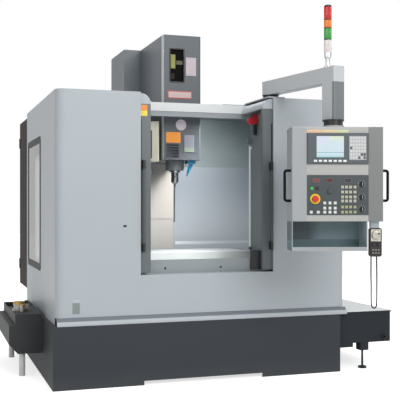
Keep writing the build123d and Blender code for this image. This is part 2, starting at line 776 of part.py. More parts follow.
def rail_section(width, height):
    """A guide rail's section with its waisted sides, its foot on the X axis."""
    half = width / 2
    waist = half - 5
    return Polyline(
        (-half, 0),
        (half, 0),
        (half, height * 0.35),
        (waist, height * 0.5),
        (waist, height * 0.65),
        (half, height * 0.8),
        (half, height),
        (-half, height),
        (-half, height * 0.8),
        (-waist, height * 0.65),
        (-waist, height * 0.5),
        (-half, height * 0.35),
        close=True,
    )


def rail(length):
    """A guide rail along +Y from the origin, standing on Z = 0."""
    face = Plane.XZ * make_face(rail_section(RAIL_WIDTH, RAIL_HEIGHT))
    return extrude(face, -length)


def guide_rails():
    """The bed's two rails and the column's two rails."""
    start = BED_FRONT + 80
    end = COLUMN_FRONT - 70
    pieces = []
    for side in (-1, 1):
        pieces.append(Pos(side * Y_RAIL_X, start, WAY_TOP) * rail(end - start))
        stood = Rot(90, 0, 0) * rail(COLUMN_TOP - Z_RAIL_DROP - Z_RAIL_BOTTOM)
        pieces.append(Pos(side * Z_RAIL_X, COLUMN_FRONT, Z_RAIL_BOTTOM) * stood)
    return solids(*pieces)


def carriage():
    """A carriage block over a rail that runs along Y, its mounting face at CARRIAGE_HEIGHT."""
    lift = 7
    body = block(around(0, CARRIAGE_WIDTH / 2), around(0, CARRIAGE_LENGTH / 2), (lift, CARRIAGE_HEIGHT))
    half = RAIL_WIDTH / 2 + RAIL_CLEAR
    body -= block((-half, half), around(0, CARRIAGE_LENGTH), (0, RAIL_HEIGHT + RAIL_CLEAR))
    return body


def saddle():
    """A cross-shaped casting with four carriages below, two rails above and the nut of the Y screw."""
    long_half = SADDLE_HALF_LENGTH
    core = SADDLE_CORE_HALF
    wing = SADDLE_WING_HALF
    deep = SADDLE_HALF_DEPTH
    outline = [
        (-long_half, -wing), (-core - 60, -wing), (-core, -deep), (core, -deep),
        (core + 60, -wing), (long_half, -wing), (long_half, wing), (core + 60, wing),
        (core, deep), (-core, deep), (-core - 60, wing), (-long_half, wing),
    ]
    body = plan([(x, y + SPINDLE_Y) for x, y in outline], (SADDLE_BOTTOM, SADDLE_TOP))
    fitted = []
    for side in (-1, 1):
        pocket = block(
            around(side * (core + long_half) / 2, (long_half - core) / 2 - 45),
            around(SPINDLE_Y, wing - 30),
            (SADDLE_BOTTOM, SADDLE_TOP - 30),
        )
        body -= pocket
        for row in (-1, 1):
            fitted.append(Pos(side * Y_RAIL_X, SPINDLE_Y + row * 150, WAY_TOP) * carriage())
        body += block(
            (side * long_half - 15, side * long_half + 15),
            around(SPINDLE_Y, 50),
            (SADDLE_TOP - 20, RIB_BOTTOM - 5),
        )
        fitted.append(Pos(-long_half, SPINDLE_Y + side * X_RAIL_Y, SADDLE_TOP) * Rot(0, 0, -90) * rail(2 * long_half))
    nut = block(around(0, 40), around(SPINDLE_Y, 55), (Y_SCREW_Z - 24, SADDLE_BOTTOM))
    body += nut
    body -= along_y(0, around(SPINDLE_Y, 60), Y_SCREW_Z, SCREW_RADIUS + SCREW_CLEAR)
    body -= along_x((-long_half - 20, long_half + 20), SPINDLE_Y, X_SCREW_Z, JOURNAL_RADIUS + JOURNAL_CLEAR)
    return solids(body, *fitted)


def motor(face):
    """A servo motor whose shaft points down -Z from the origin: flange, body and rear cap."""
    body = Pos(0, 0, MOTOR_LENGTH * 0.36) * Box(MOTOR_SIZE - 6, MOTOR_SIZE - 6, MOTOR_LENGTH * 0.72)
    body = fillet(body.edges().filter_by(Axis.Z), 10)
    flange = Pos(0, 0, 6) * Box(MOTOR_SIZE, MOTOR_SIZE, 12)
    cap = Pos(0, 0, MOTOR_LENGTH * 0.86) * Cylinder(MOTOR_SIZE * 0.4, MOTOR_LENGTH * 0.28)
    return face * (body + flange + cap)


def axis_motors():
    """The motors of the Y screw and of the vertical screw."""
    toward_front = Pos(0, BED_FRONT, Y_SCREW_Z) * Rot(90, 0, 0)
    above = Pos(0, Z_SCREW_Y, Z_SCREW_TOP + BEARING_THICK)
    return solids(motor(toward_front), motor(above))


def x_motor():
    """The motor of the table's screw, at the right end of the saddle."""
    return solids(motor(Pos(SADDLE_HALF_LENGTH + 15, SPINDLE_Y, X_SCREW_Z) * Rot(0, 90, 0)))


def screw(length, radius, journal):
    """A ball screw along +Z from the origin, with a plain journal at each end."""
    shaft = Pos(0, 0, length / 2) * Cylinder(radius, length - 2 * journal)
    ends = Pos(0, 0, length / 2) * Cylinder(JOURNAL_RADIUS, length)
    return shaft + ends


def y_ballscrew():
    """The screw in the bed's trough, its journals in the two bearing blocks."""
    length = COLUMN_FRONT - 70 + BEARING_THICK - BED_FRONT - 1
    body = screw(length, SCREW_RADIUS, BEARING_THICK + 2)
    return solids(Pos(0, BED_FRONT + 1, Y_SCREW_Z) * Rot(-90, 0, 0) * body)


def x_ballscrew():
    """The screw in the saddle, between its two end bearings."""
    length = 2 * SADDLE_HALF_LENGTH + BEARING_THICK - 1
    body = screw(length, SCREW_RADIUS, BEARING_THICK + 2)
    return solids(Pos(-SADDLE_HALF_LENGTH - 15, SPINDLE_Y, X_SCREW_Z) * Rot(0, 90, 0) * body)


def z_ballscrew():
    """The screw in the column's channel."""
    bottom = COLUMN_BOTTOM + 130
    length = Z_SCREW_TOP + BEARING_THICK - 1 - bottom
    return solids(Pos(0, Z_SCREW_Y, bottom) * screw(length, Z_SCREW_RADIUS, BEARING_THICK + 2))


def y_apron():
    """The sheet that covers the front ways and travels with the saddle."""
    front = SPINDLE_Y - SADDLE_HALF_DEPTH
    half = SADDLE_CORE_HALF
    top = block((-half, half), (front - APRON_LENGTH, front), (APRON_TOP - SHEET, APRON_TOP))
    sides = block((half - SHEET, half), (front - APRON_LENGTH, front), (APRON_TOP - APRON_DROP, APRON_TOP - SHEET))
    return solids(top + sides + flip(sides))


def table():
    """The slotted table on its rib, with carriages on the saddle's rails and the X nut."""
    y = around(SPINDLE_Y, TABLE_DEPTH / 2)
    plate = block(around(0, TABLE_LENGTH / 2), y, (TABLE_BOTTOM, TABLE_TOP))
    plate = fillet(plate.edges().filter_by(Axis.Z), 6)
    for index in range(SLOT_COUNT):
        middle = SPINDLE_Y + (index - (SLOT_COUNT - 1) / 2) * SLOT_PITCH
        plate -= block(around(0, TABLE_LENGTH), around(middle, SLOT_WIDTH / 2), (TABLE_TOP - SLOT_DEPTH, TABLE_TOP))
        plate -= block(
            around(0, TABLE_LENGTH),
            around(middle, SLOT_FOOT_WIDTH / 2),
            (TABLE_TOP - SLOT_DEPTH - SLOT_FOOT_DEPTH, TABLE_TOP - SLOT_DEPTH),
        )
    rib = block(around(0, TABLE_RIB_HALF), around(SPINDLE_Y, TABLE_DEPTH / 2 - 60), (RIB_BOTTOM, TABLE_BOTTOM))
    carriages = []
    for side in (-1, 1):
        for row in (-1, 1):
            place = Pos(side * 155, SPINDLE_Y + row * X_RAIL_Y, SADDLE_TOP)
            carriages.append(place * Rot(0, 0, 90) * carriage())
    nut = block(around(0, 45), around(SPINDLE_Y, 34), (X_SCREW_Z - 22, RIB_BOTTOM))
    nut -= along_x(around(0, 60), SPINDLE_Y, X_SCREW_Z, SCREW_RADIUS + SCREW_CLEAR)
    return solids(plate, rib, nut, *carriages)


# Head


def head_cover():
    """The tall folded cover of the head, open behind, with its window and louvred vent."""
    outer = rounded_plan((-HEAD_HALF, HEAD_HALF), (HEAD_FRONT, HEAD_BACK + 60), (HEAD_BOTTOM, HEAD_TOP), HEAD_CORNER)
    inner = block(
        (SHEET - HEAD_HALF, HEAD_HALF - SHEET), (HEAD_FRONT + SHEET, HEAD_BACK + 61), (HEAD_BOTTOM + SHEET, HEAD_TOP - SHEET)
    )
    shell = outer - inner - block((-HEAD_HALF, HEAD_HALF), (HEAD_BACK, HEAD_BACK + 61), (HEAD_BOTTOM, HEAD_TOP))
    inner_half = HEAD_HALF - SHEET
    shell -= block((-inner_half, inner_half), (HEAD_ROOF_BACK, HEAD_BACK), (HEAD_TOP - SHEET, HEAD_TOP))
    shell -= block((-inner_half, inner_half), (HEAD_PLATE_FRONT - 20, HEAD_BACK), (HEAD_BOTTOM, HEAD_BOTTOM + SHEET))
    shell -= upright(0, SPINDLE_Y, (HEAD_BOTTOM, HEAD_BOTTOM + SHEET), CARTRIDGE_RADIUS + 3)
    shell -= block(HEAD_WINDOW, (HEAD_FRONT, HEAD_FRONT + SHEET), HEAD_WINDOW_Z)
    pitch = (HEAD_VENT_Z[1] - HEAD_VENT_Z[0]) / HEAD_VENT_SLOTS
    for index in range(HEAD_VENT_SLOTS):
        z = HEAD_VENT_Z[0] + (index + 0.5) * pitch
        shell -= block((HEAD_VENT[0] + 8, HEAD_VENT[1] - 8), (HEAD_FRONT, HEAD_FRONT + SHEET), around(z, pitch / 4))
    # the cover is bolted up from a front with its bends, two sides, a roof and a floor
    behind = (HEAD_FRONT + HEAD_CORNER, HEAD_BACK)
    between = (HEAD_BOTTOM + SHEET, HEAD_TOP - SHEET)
    inside = (-inner_half, inner_half)
    front = shell & block((-HEAD_HALF, HEAD_HALF), (HEAD_FRONT, behind[0]), (HEAD_BOTTOM, HEAD_TOP))
    right = shell & block((inner_half, HEAD_HALF), behind, (HEAD_BOTTOM, HEAD_TOP))
    left = shell & block((-HEAD_HALF, -inner_half), behind, (HEAD_BOTTOM, HEAD_TOP))
    roof = shell & block(inside, behind, (between[1], HEAD_TOP))
    floor = shell & block(inside, behind, (HEAD_BOTTOM, between[0]))
    return solids(front, left, right, roof, floor)


def head_casting():
    """The head's ribbed box with its carriages and nut behind and the spindle's housing in front."""
    half = HEAD_HALF - SHEET - 6
    box_bottom = HEAD_BOTTOM + SHEET + 6
    plate = block((-half, half), (HEAD_PLATE_FRONT, HEAD_PLATE_BACK), (box_bottom, HEAD_PLATE_TOP))
    nose_front = SPINDLE_Y - CARTRIDGE_RADIUS - 40
    arm = block((-half, half), (nose_front, HEAD_PLATE_FRONT), (box_bottom, HEAD_BOX_TOP))
    arm -= block((40 - half, half - 40), (SPINDLE_Y + 130, HEAD_PLATE_FRONT - 60), (box_bottom, HEAD_BOX_TOP - 30))
    web = side_view(
        [
            (SPINDLE_Y + 150, HEAD_BOX_TOP),
            (HEAD_PLATE_FRONT, HEAD_BOX_TOP),
            (HEAD_PLATE_FRONT, (HEAD_BOX_TOP + 3 * HEAD_PLATE_TOP) / 4),
        ],
        (-20, 20),
    )
    body = plate + arm + web
    fitted = []
    for side in (-1, 1):
        for z in (HEAD_BOTTOM + 100, HEAD_PLATE_TOP - 70):
            place = Pos(side * Z_RAIL_X, COLUMN_FRONT, z) * Rot(90, 0, 0)
            fitted.append(place * carriage())
    nut = block((-45, 45), (HEAD_PLATE_BACK, Z_SCREW_Y + 40), around(HEAD_BOX_TOP - 60, 60))
    nut -= upright(0, Z_SCREW_Y, around(HEAD_BOX_TOP - 60, 70), Z_SCREW_RADIUS + SCREW_CLEAR)
    fitted.append(nut)
    bore = SPINDLE_SHAFT + 12
    cartridge = upright(0, SPINDLE_Y, (CARTRIDGE_FACE, HEAD_BOX_TOP + 30), CARTRIDGE_RADIUS)
    body -= upright(0, SPINDLE_Y, (box_bottom, HEAD_BOX_TOP), CARTRIDGE_RADIUS)
    cartridge -= upright(0, SPINDLE_Y, (CARTRIDGE_FACE, HEAD_BOX_TOP + 30), bore)
    for low, high in ((CARTRIDGE_FACE, CARTRIDGE_FACE + 60), (HEAD_BOX_TOP - 30, HEAD_BOX_TOP + 30)):
        race = upright(0, SPINDLE_Y, (low, high), bore)
        race -= upright(0, SPINDLE_Y, (low, high), SPINDLE_SHAFT + JOURNAL_CLEAR)
        cartridge += race
    # the motor stands on four posts above the casting
    for x in (-1, 1):
        for y in (-1, 1):
            spot = (x * (SPINDLE_MOTOR_SIZE / 2 - 15), SPINDLE_Y + y * (SPINDLE_MOTOR_SIZE / 2 - 15))
            fitted.append(upright(spot[0], spot[1], (HEAD_BOX_TOP, SPINDLE_MOTOR_BOTTOM), 10))
    # two ribs carry the sheet cover
    for side in (-1, 1):
        body += block(
            (side * half if side > 0 else SHEET - HEAD_HALF, HEAD_HALF - SHEET if side > 0 else -half),
            (1000, 1100),
            (HEAD_BOX_TOP - 120, HEAD_BOX_TOP - 60),
        )
    return solids(body, cartridge, *fitted)


def spindle_motor():
    """The spindle motor on its posts, square with a round fan cowl."""
    size = SPINDLE_MOTOR_SIZE
    body = rounded_plan(
        around(0, size / 2), around(SPINDLE_Y, size / 2), (SPINDLE_MOTOR_BOTTOM, SPINDLE_MOTOR_TOP - 70), 22
    )
    cowl = upright(0, SPINDLE_Y, (SPINDLE_MOTOR_TOP - 70, SPINDLE_MOTOR_TOP), size / 2 - 8)
    stub = upright(0, SPINDLE_Y, (HEAD_BOX_TOP + 45, SPINDLE_MOTOR_BOTTOM), 18)
    return solids(body + cowl + stub)


def coolant_nozzles():
    """A manifold block under the head, a valve box and two jointed hoses with conical tips."""
    top = HEAD_BOTTOM - FLUSH
    manifold = block((60, 128), (705, 770), (top - 26, HEAD_BOTTOM))
    pieces = manifold
    for x, y, lean in ((88, 722, 14), (116, 752, 26)):
        tilt = Pos(x, y, top - 26) * Rot(0, lean, 0)
        for step in range(4):
            ball = tilt * Pos(0, 0, -12 - step * 17) * Sphere(11)
            pieces += ball
        tip = tilt * Pos(0, 0, -12 - 3 * 17 - 24) * Rot(180, 0, 0) * Cone(8, 4, 34)
        pieces += tip
    return solids(pieces)


def spindle():
    """The turning shaft: taper nose, two bearing seats and the coupling to the motor."""
    shaft = upright(0, SPINDLE_Y, (CARTRIDGE_FACE, HEAD_BOX_TOP + 30), SPINDLE_SHAFT)
    nose = upright(0, SPINDLE_Y, (NOSE_FACE, CARTRIDGE_FACE - 1), NOSE_RADIUS)
    neck = upright(0, SPINDLE_Y, (CARTRIDGE_FACE - 1, CARTRIDGE_FACE), SPINDLE_SHAFT)
    hub = upright(0, SPINDLE_Y, (HEAD_BOX_TOP + 31, HEAD_BOX_TOP + 44), COUPLING_RADIUS)
    link = upright(0, SPINDLE_Y, (HEAD_BOX_TOP + 30, HEAD_BOX_TOP + 31), SPINDLE_SHAFT)
    body = shaft + nose + neck + hub + link
    body -= Pos(0, SPINDLE_Y, NOSE_FACE + 32.5) * Cone(22.2, 12.7, 65)
    return solids(body)


def tool_holder():
    """A taper-shank holder with its grooved flange, collet chuck and end mill."""
    top = HOLDER_TOP
    groove = HOLDER_THICK / 2
    profile = [
        (0, top + 62),
        (12.4, top + 62),
        (21.9, top + 3.2),
        (21.9, top),
        (HOLDER_FLANGE, top),
        (HOLDER_FLANGE, top - groove + 5),
        (HOLDER_FLANGE - 5, top - groove + 2),
        (HOLDER_FLANGE - 5, top - groove - 2),
        (HOLDER_FLANGE, top - groove - 5),
        (HOLDER_FLANGE, top - HOLDER_THICK),
        (HOLDER_CHUCK - 5, top - HOLDER_THICK - 4),
        (HOLDER_CHUCK, top - HOLDER_THICK - 14),
        (HOLDER_CHUCK, top - HOLDER_LENGTH + 12),
        (HOLDER_CHUCK - 8, top - HOLDER_LENGTH),
        (CUTTER_RADIUS, top - HOLDER_LENGTH),
        (CUTTER_RADIUS, top - HOLDER_LENGTH - CUTTER_LENGTH),
        (0, top - HOLDER_LENGTH - CUTTER_LENGTH),
    ]
    face = make_face(Polyline(*[(r, 0, z) for r, z in profile], close=True))
    return solids(Pos(0, SPINDLE_Y, 0) * revolve(face, Axis.Z, 360))


# Tool changer


def atc_cam_box():
    """The gear case of the changer, its bracket to the column and the magazine's stub axle."""
    case = block((CAM_LEFT, CAM_RIGHT), (CAM_FRONT, CAM_BACK), (CAM_BOTTOM, CAM_TOP))
    case = fillet(case.edges().filter_by(Axis.Z), 18)
    slot_x = (CAM_LEFT + 40, CAM_RIGHT - 60)
    case -= block(slot_x, (CAM_FRONT, CAM_FRONT + 12), (CAM_BOTTOM + 20, CAM_TOP - 70))
    bracket = side_view(
        [
            (CAM_BACK - 40, CAM_BOTTOM + 30),
            (COLUMN_FRONT, CAM_BOTTOM + 30),
            (COLUMN_FRONT, CAM_TOP + 60),
            (CAM_BACK - 40, CAM_TOP),
        ],
        (-COLUMN_HALF, CAM_RIGHT - 10),
    )
    beam = along_x((MAGAZINE_X + MAGAZINE_PLATE + 60, CAM_LEFT), MAGAZINE_Y, MAGAZINE_Z, MAGAZINE_BEAM)
    stub = along_x((MAGAZINE_X - 12, CAM_LEFT), MAGAZINE_Y, MAGAZINE_Z, MAGAZINE_STUB)
    case -= upright(ARM_X, SPINDLE_Y, (CAM_BOTTOM, CAM_TOP - 20), ARM_SHAFT + JOURNAL_CLEAR)
    return solids(case + bracket + beam + stub)


def jaw():
    """One end of the arm: a C-shaped hook round the origin, its mouth facing +Y."""
    ring = Cylinder(JAW_OUTER, ARM_THICK) - Cylinder(JAW_INNER, ARM_THICK)
    mouth = block((-JAW_INNER, JAW_INNER), (0, JAW_OUTER + 1), around(0, ARM_THICK))
    return ring - mouth


def atc_arm():
    """The twin arm, parked across the spindle's line, with a hook at each end of its bar."""
    bar_end = ARM_REACH - JAW_INNER - 4
    bar = block((-bar_end, bar_end), around(0, ARM_HALF_WIDTH), around(0, ARM_THICK / 2))
    waist = fillet(bar.edges().filter_by(Axis.Z), 12)
    body = waist + Cylinder(ARM_HUB, ARM_THICK) - Cylinder(ARM_SPIGOT + JOURNAL_CLEAR, ARM_THICK)
    for turn in (0, 180):
        body += Rot(0, 0, turn) * Pos(ARM_REACH, 0, 0) * jaw()
    # the hooks are pieces of their own, bolted to the bar's ends
    joint = ARM_REACH - JAW_OUTER - 14
    middle = body & block((-joint, joint), around(0, 80), around(0, 80))
    ends = [body & block((joint, 500), around(0, 80), around(0, 80))]
    ends.append(body & block((-500, -joint), around(0, 80), around(0, 80)))
    place = Pos(ARM_X, SPINDLE_Y, HOLDER_MIDDLE) * Rot(0, 0, -90)
    return solids(place * middle, *[place * end for end in ends])


def atc_shaft():
    """The changer's plunging shaft, with the spigot and retaining cap that the arm turns on."""
    low, high = around(HOLDER_MIDDLE, ARM_THICK / 2)
    shaft = upright(ARM_X, SPINDLE_Y, (high + FLUSH, CAM_TOP - 40), ARM_SHAFT)
    spigot = upright(ARM_X, SPINDLE_Y, (low - FLUSH, high + FLUSH), ARM_SPIGOT)
    cap = upright(ARM_X, SPINDLE_Y, (low - FLUSH - ARM_CAP, low - FLUSH), ARM_SHAFT)
    cap = chamfer(cap.edges().group_by(Axis.Z)[0], 3)
    return solids(shaft + spigot + cap)


def tool_magazine():
    """The magazine's disc, turning on the stub: a plate, its hub and a ring of tool pots."""
    x = (MAGAZINE_X, MAGAZINE_X + MAGAZINE_PLATE)
    rim = POT_CIRCLE + POT_RADIUS + 10
    disc = along_x(x, MAGAZINE_Y, MAGAZINE_Z, rim)
    disc -= along_x(x, MAGAZINE_Y, MAGAZINE_Z, MAGAZINE_STUB + JOURNAL_CLEAR)
    centre = Pos(0, MAGAZINE_Y, MAGAZINE_Z)
    hub = along_x((x[1], x[1] + 59), MAGAZINE_Y, MAGAZINE_Z, MAGAZINE_STUB + 22)
    hub -= along_x((x[1], x[1] + 59), MAGAZINE_Y, MAGAZINE_Z, MAGAZINE_STUB + JOURNAL_CLEAR)
    pot = along_x((x[1], x[1] + POT_LENGTH), 0, 0, POT_RADIUS)
    pot -= along_x((x[1] + POT_LENGTH - 70, x[1] + POT_LENGTH), 0, 0, POT_BORE)
    pots = []
    for index in range(POT_COUNT):
        pots.append(centre * Rot(index * 360 / POT_COUNT, 0, 0) * Pos(0, POT_CIRCLE, 0) * pot)
    return solids(disc + hub, *pots)


# Column covers


def z_cover_upper():
    """The long plate that hangs from the head in front of the column's rails."""
    y = (HEAD_PLATE_BACK, HEAD_PLATE_BACK + SHEET)
    return solids(block(around(0, COVER_HALF), y, (COVER_BOTTOM + Z_TRAVEL, HEAD_BOTTOM + COVER_HEM)))


def z_cover_low():
    """The fixed plate behind it, on four spacers from the column's face."""
    y = HEAD_PLATE_BACK + COVER_PITCH
    plate = block(around(0, COVER_HALF), (y, y + SHEET), (COVER_BOTTOM, COVER_BOTTOM + Z_TRAVEL + COVER_LAP))
    for side in (-1, 1):
        for z in (COVER_BOTTOM + 130, COVER_BOTTOM + 300):
            plate += block(around(side * (CHANNEL_HALF + 9), 6), (y + SHEET, COLUMN_FRONT), around(z, 12))
    return solids(plate)


# Tanks and cabinet


def coolant_tank():
    """The closed tank on the right: a folded box with a stepped lid, a drain and screw feet."""
    body = block((TANK_LEFT, TANK_RIGHT), (0, TANK_BACK), (TANK_BOTTOM, TANK_TOP))
    body += block((HALF + 2, TANK_RIGHT + 6), (-6, TANK_BACK), (TANK_TOP - 12, TANK_TOP))
    # the lid steps down beside the skirt's shelf and the side panel
    body -= block((TANK_LEFT, HALF + 2), (0, TANK_BACK), (SKIRT_TOP - SKIRT_WALL - 1, TANK_TOP))
    body -= block(
        (TANK_LEFT + TANK_WALL, TANK_RIGHT - TANK_WALL),
        (TANK_WALL, TANK_BACK - TANK_WALL),
        (TANK_BOTTOM + TANK_WALL, SKIRT_TOP - SKIRT_WALL - 1 - TANK_WALL),
    )
    body += block((TANK_LEFT, TANK_LEFT + 130), (0, TANK_BACK), (TANK_BOTTOM - 30, TANK_BOTTOM))
    body += along_y(TANK_RIGHT - 60, (-18, 0), TANK_BOTTOM + 40, 16)
    body -= along_y(TANK_RIGHT - 60, (-18, TANK_WALL), TANK_BOTTOM + 40, 9)
    for y in (40, TANK_BACK - 60):
        body += block(around(TANK_LEG_X, 35), around(y, 35), (TANK_BOTTOM - 60, TANK_BOTTOM))
        body += upright(TANK_LEG_X, y, (14, TANK_BOTTOM - 60), 8)
        body += upright(TANK_LEG_X, y, (0, 14), 32)
    return solids(body)


def chip_tank():
    """The settling tank on the left, with a lobe low on its side, a deck in front and an open rear."""
    right = SKIRT_LEFT
    wall = TANK_WALL
    low, high = CHIP_LOBE_Z
    lobe = CHIP_LEFT - CHIP_LOBE
    outer = front_view(
        [
            (CHIP_LEFT + 20, CHIP_BOTTOM),
            (right, CHIP_BOTTOM),
            (right, CHIP_TOP),
            (CHIP_LEFT, CHIP_TOP),
            (CHIP_LEFT, high),
            (lobe, high),
            (lobe, low),
        ],
        (CHIP_FRONT, CHIP_BACK),
    )
    inner = front_view(
        [
            (CHIP_LEFT + 22, CHIP_BOTTOM + wall),
            (right - wall, CHIP_BOTTOM + wall),
            (right - wall, CHIP_TOP),
            (CHIP_LEFT + wall, CHIP_TOP),
            (CHIP_LEFT + wall, high - wall),
            (lobe + wall, high - wall),
            (lobe + wall, low + 2),
        ],
        (CHIP_FRONT + wall, CHIP_BACK - wall),
    )
    deck = block((CHIP_LEFT, right), (CHIP_FRONT, 1000), (CHIP_TOP, CHIP_TOP + 8))
    legs = [upright(PUMP_X, y, (0, CHIP_BOTTOM), 22) for y in (CHIP_FRONT + 60, CHIP_BACK - 60)]
    return solids(outer - inner + deck, *legs)


def coolant_pump():
    """A vertical immersion pump on the chip tank's deck, with its elbow and valve."""
    deck = CHIP_TOP + 8
    flange = upright(PUMP_X, PUMP_Y, (deck, deck + 10), PUMP_RADIUS + 14)
    body = upright(PUMP_X, PUMP_Y, (deck + 10, deck + PUMP_HEIGHT - 28), PUMP_RADIUS)
    cap = upright(PUMP_X, PUMP_Y, (deck + PUMP_HEIGHT - 28, deck + PUMP_HEIGHT), PUMP_RADIUS + 5)
    cap = fillet(cap.edges().group_by(Axis.Z)[-1], 10)
    box = block((PUMP_X + PUMP_RADIUS - 6, PUMP_X + PUMP_RADIUS + 30), around(PUMP_Y, 24), (deck + 12, deck + 44))
    riser = upright(PUMP_X + 10, PUMP_Y - 110, (deck, deck + 46), 17)
    cross = along_y(PUMP_X + 10, (PUMP_Y - 112, PUMP_Y - PUMP_RADIUS + 5), deck + 28, 12)
    wheel = upright(PUMP_X + 10, PUMP_Y - 110, (deck + 46, deck + 56), 24)
    return solids(flange + body + cap + box, riser + cross + wheel)


def electrical_cabinet():
    """The cabinet behind the left half of the machine: five sheets and the mounting plate inside."""
    x = (-HALF, CABINET_RIGHT)
    y = (HOUSE_DEPTH, CABINET_BACK - CABINET_DOOR)
    inner_y = (y[0] + SHEET, y[1])
    inner_z = (CABINET_BOTTOM + SHEET, CABINET_TOP - SHEET)
    front = block(x, (y[0], y[0] + SHEET), (CABINET_BOTTOM, CABINET_TOP))
    left = block((x[0], x[0] + SHEET), inner_y, inner_z)
    right = block((x[1] - SHEET, x[1]), inner_y, inner_z)
    top = block(x, inner_y, (CABINET_TOP - SHEET, CABINET_TOP))
    bottom = block(x, inner_y, (CABINET_BOTTOM, CABINET_BOTTOM + SHEET))
    bottom -= upright(x[0] + 90, CABINET_BACK - 200, (CABINET_BOTTOM, CABINET_BOTTOM + SHEET), 20)
    plate = block(
        (x[0] + 60, x[1] - 60), (y[0] + SHEET, y[0] + 30), (CABINET_BOTTOM + 80, CABINET_TOP - 80)
    )
    return solids(front, left, right, top, bottom, plate)


def cabinet_door():
    """The cabinet's door, a shallow folded pan with two hinge barrels on its left edge."""
    y = (CABINET_BACK - CABINET_DOOR + FLUSH, CABINET_BACK)
    pan = block((-HALF, CABINET_RIGHT), y, (CABINET_BOTTOM, CABINET_TOP))
    pan -= block((-HALF + 8, CABINET_RIGHT - 8), (y[0], y[1] - SHEET), (CABINET_BOTTOM + 8, CABINET_TOP - 8))
    for z in (CABINET_BOTTOM + HINGE_INSET, CABINET_TOP - HINGE_INSET):
        pan += upright(-HALF, CABINET_BACK, around(z, HINGE_LENGTH / 2), HINGE_RADIUS)
    return solids(pan)


def main_switch():
    """The rotary switch on the cabinet door: a round base and a bar grip."""
    x = CABINET_RIGHT - 90
    z = CABINET_TOP - 300
    base = along_y(x, (CABINET_BACK + FLUSH, CABINET_BACK + 14), z, SWITCH_RADIUS)
    grip = block(around(x, 9), (CABINET_BACK + 14, CABINET_BACK + 36), around(z, 34))
    grip = fillet(grip.edges().filter_by(Axis.Y), 6)
    return solids(base + grip)


# Swing arm and pendant

PENDANT = Pos(PENDANT_X, PENDANT_Y, 0) * Rot(0, 0, PENDANT_YAW)
YAW = radians(PENDANT_YAW)
SWIVEL_X = PENDANT_X + SWIVEL_U * cos(YAW) - SWIVEL_V * sin(YAW)
SWIVEL_Y = PENDANT_Y + SWIVEL_U * sin(YAW) + SWIVEL_V * cos(YAW)
ARM_LENGTH = hypot(SWIVEL_X - PIVOT_X, SWIVEL_Y - PIVOT_Y)
ARM_ANGLE = degrees(atan2(SWIVEL_Y - PIVOT_Y, SWIVEL_X - PIVOT_X))


def arm_base():
    """The arm's bridge over the open door's hood, and the flanged post that turns the arm."""
    bridge_back = TUNNEL_DEPTH + HEADER_DEPTH
    bridge = block(around(PIVOT_X, BASE_RADIUS + 8), (SHEET, bridge_back), (HOUSE_TOP, HOUSE_TOP + BRIDGE_THICK))
    bridge = fillet(bridge.edges().filter_by(Axis.Z), 12)
    heel = block(around(PIVOT_X, BASE_RADIUS + 8), (bridge_back - 12, bridge_back), (HEADER_TOP, HOUSE_TOP))
    low = HOUSE_TOP + BRIDGE_THICK
    high = ARM_BOTTOM - FLUSH
    base = upright(PIVOT_X, PIVOT_Y, (low, high), BASE_RADIUS)
    waist = (low + 6, high - 6)
    base -= upright(PIVOT_X, PIVOT_Y, waist, BASE_RADIUS + 1) - upright(PIVOT_X, PIVOT_Y, waist, BASE_RADIUS - 8)
    pin = upright(PIVOT_X, PIVOT_Y, (high, ARM_TOP - 30), SWIVEL_PIN)
    return solids(bridge + heel + base + pin)


def pendant_arm():
    """A welded box section: a level beam and a drop leg at its end."""
    start = -ARM_WIDTH / 2
    leg = ARM_LENGTH - ARM_DROP_LENGTH / 2
    end = ARM_LENGTH + ARM_DROP_LENGTH / 2
    outline = [
        (start, ARM_BOTTOM),
        (leg, ARM_BOTTOM),
        (leg, ARM_DROP_BOTTOM),
        (end, ARM_DROP_BOTTOM),
        (end, ARM_TOP),
        (start, ARM_TOP),
    ]
    body = front_view(outline, around(0, ARM_WIDTH / 2))
    body = fillet(body.edges().filter_by(Axis.Z).group_by(Axis.X)[-1], 10)
    body -= upright(0, 0, (ARM_BOTTOM, ARM_TOP - 25), SWIVEL_PIN + JOURNAL_CLEAR)
    body -= upright(ARM_LENGTH, 0, (ARM_DROP_BOTTOM, ARM_DROP_BOTTOM + 60), SWIVEL_PIN + JOURNAL_CLEAR)
    return solids(Pos(PIVOT_X, PIVOT_Y, 0) * Rot(0, 0, ARM_ANGLE) * body)


def signal_tower():
    """A stack of four lamp tiers on a fluted base, with a domed cap."""
    back = 60
    x = SWIVEL_X - back * cos(radians(ARM_ANGLE))
    y = SWIVEL_Y - back * sin(radians(ARM_ANGLE))
    foot = upright(x, y, (ARM_TOP, ARM_TOP + 18), TOWER_RADIUS + 7)
    stem = upright(x, y, (ARM_TOP + 18, TOWER_TIERS[0] - 30), TOWER_RADIUS - 9)
    collar = upright(x, y, (TOWER_TIERS[0] - 30, TOWER_TIERS[0]), TOWER_RADIUS)
    body = foot + stem + collar
    for low, high in zip(TOWER_TIERS[:-1], TOWER_TIERS[1:]):
        body += upright(x, y, (low, high - 4), TOWER_RADIUS)
        body += upright(x, y, (high - 4, high), TOWER_RADIUS - 2)
    cap = upright(x, y, (TOWER_TIERS[-1], TOWER_TOP), TOWER_RADIUS)
    cap = fillet(cap.edges().group_by(Axis.Z)[-1], 8)
    return solids(body + cap)


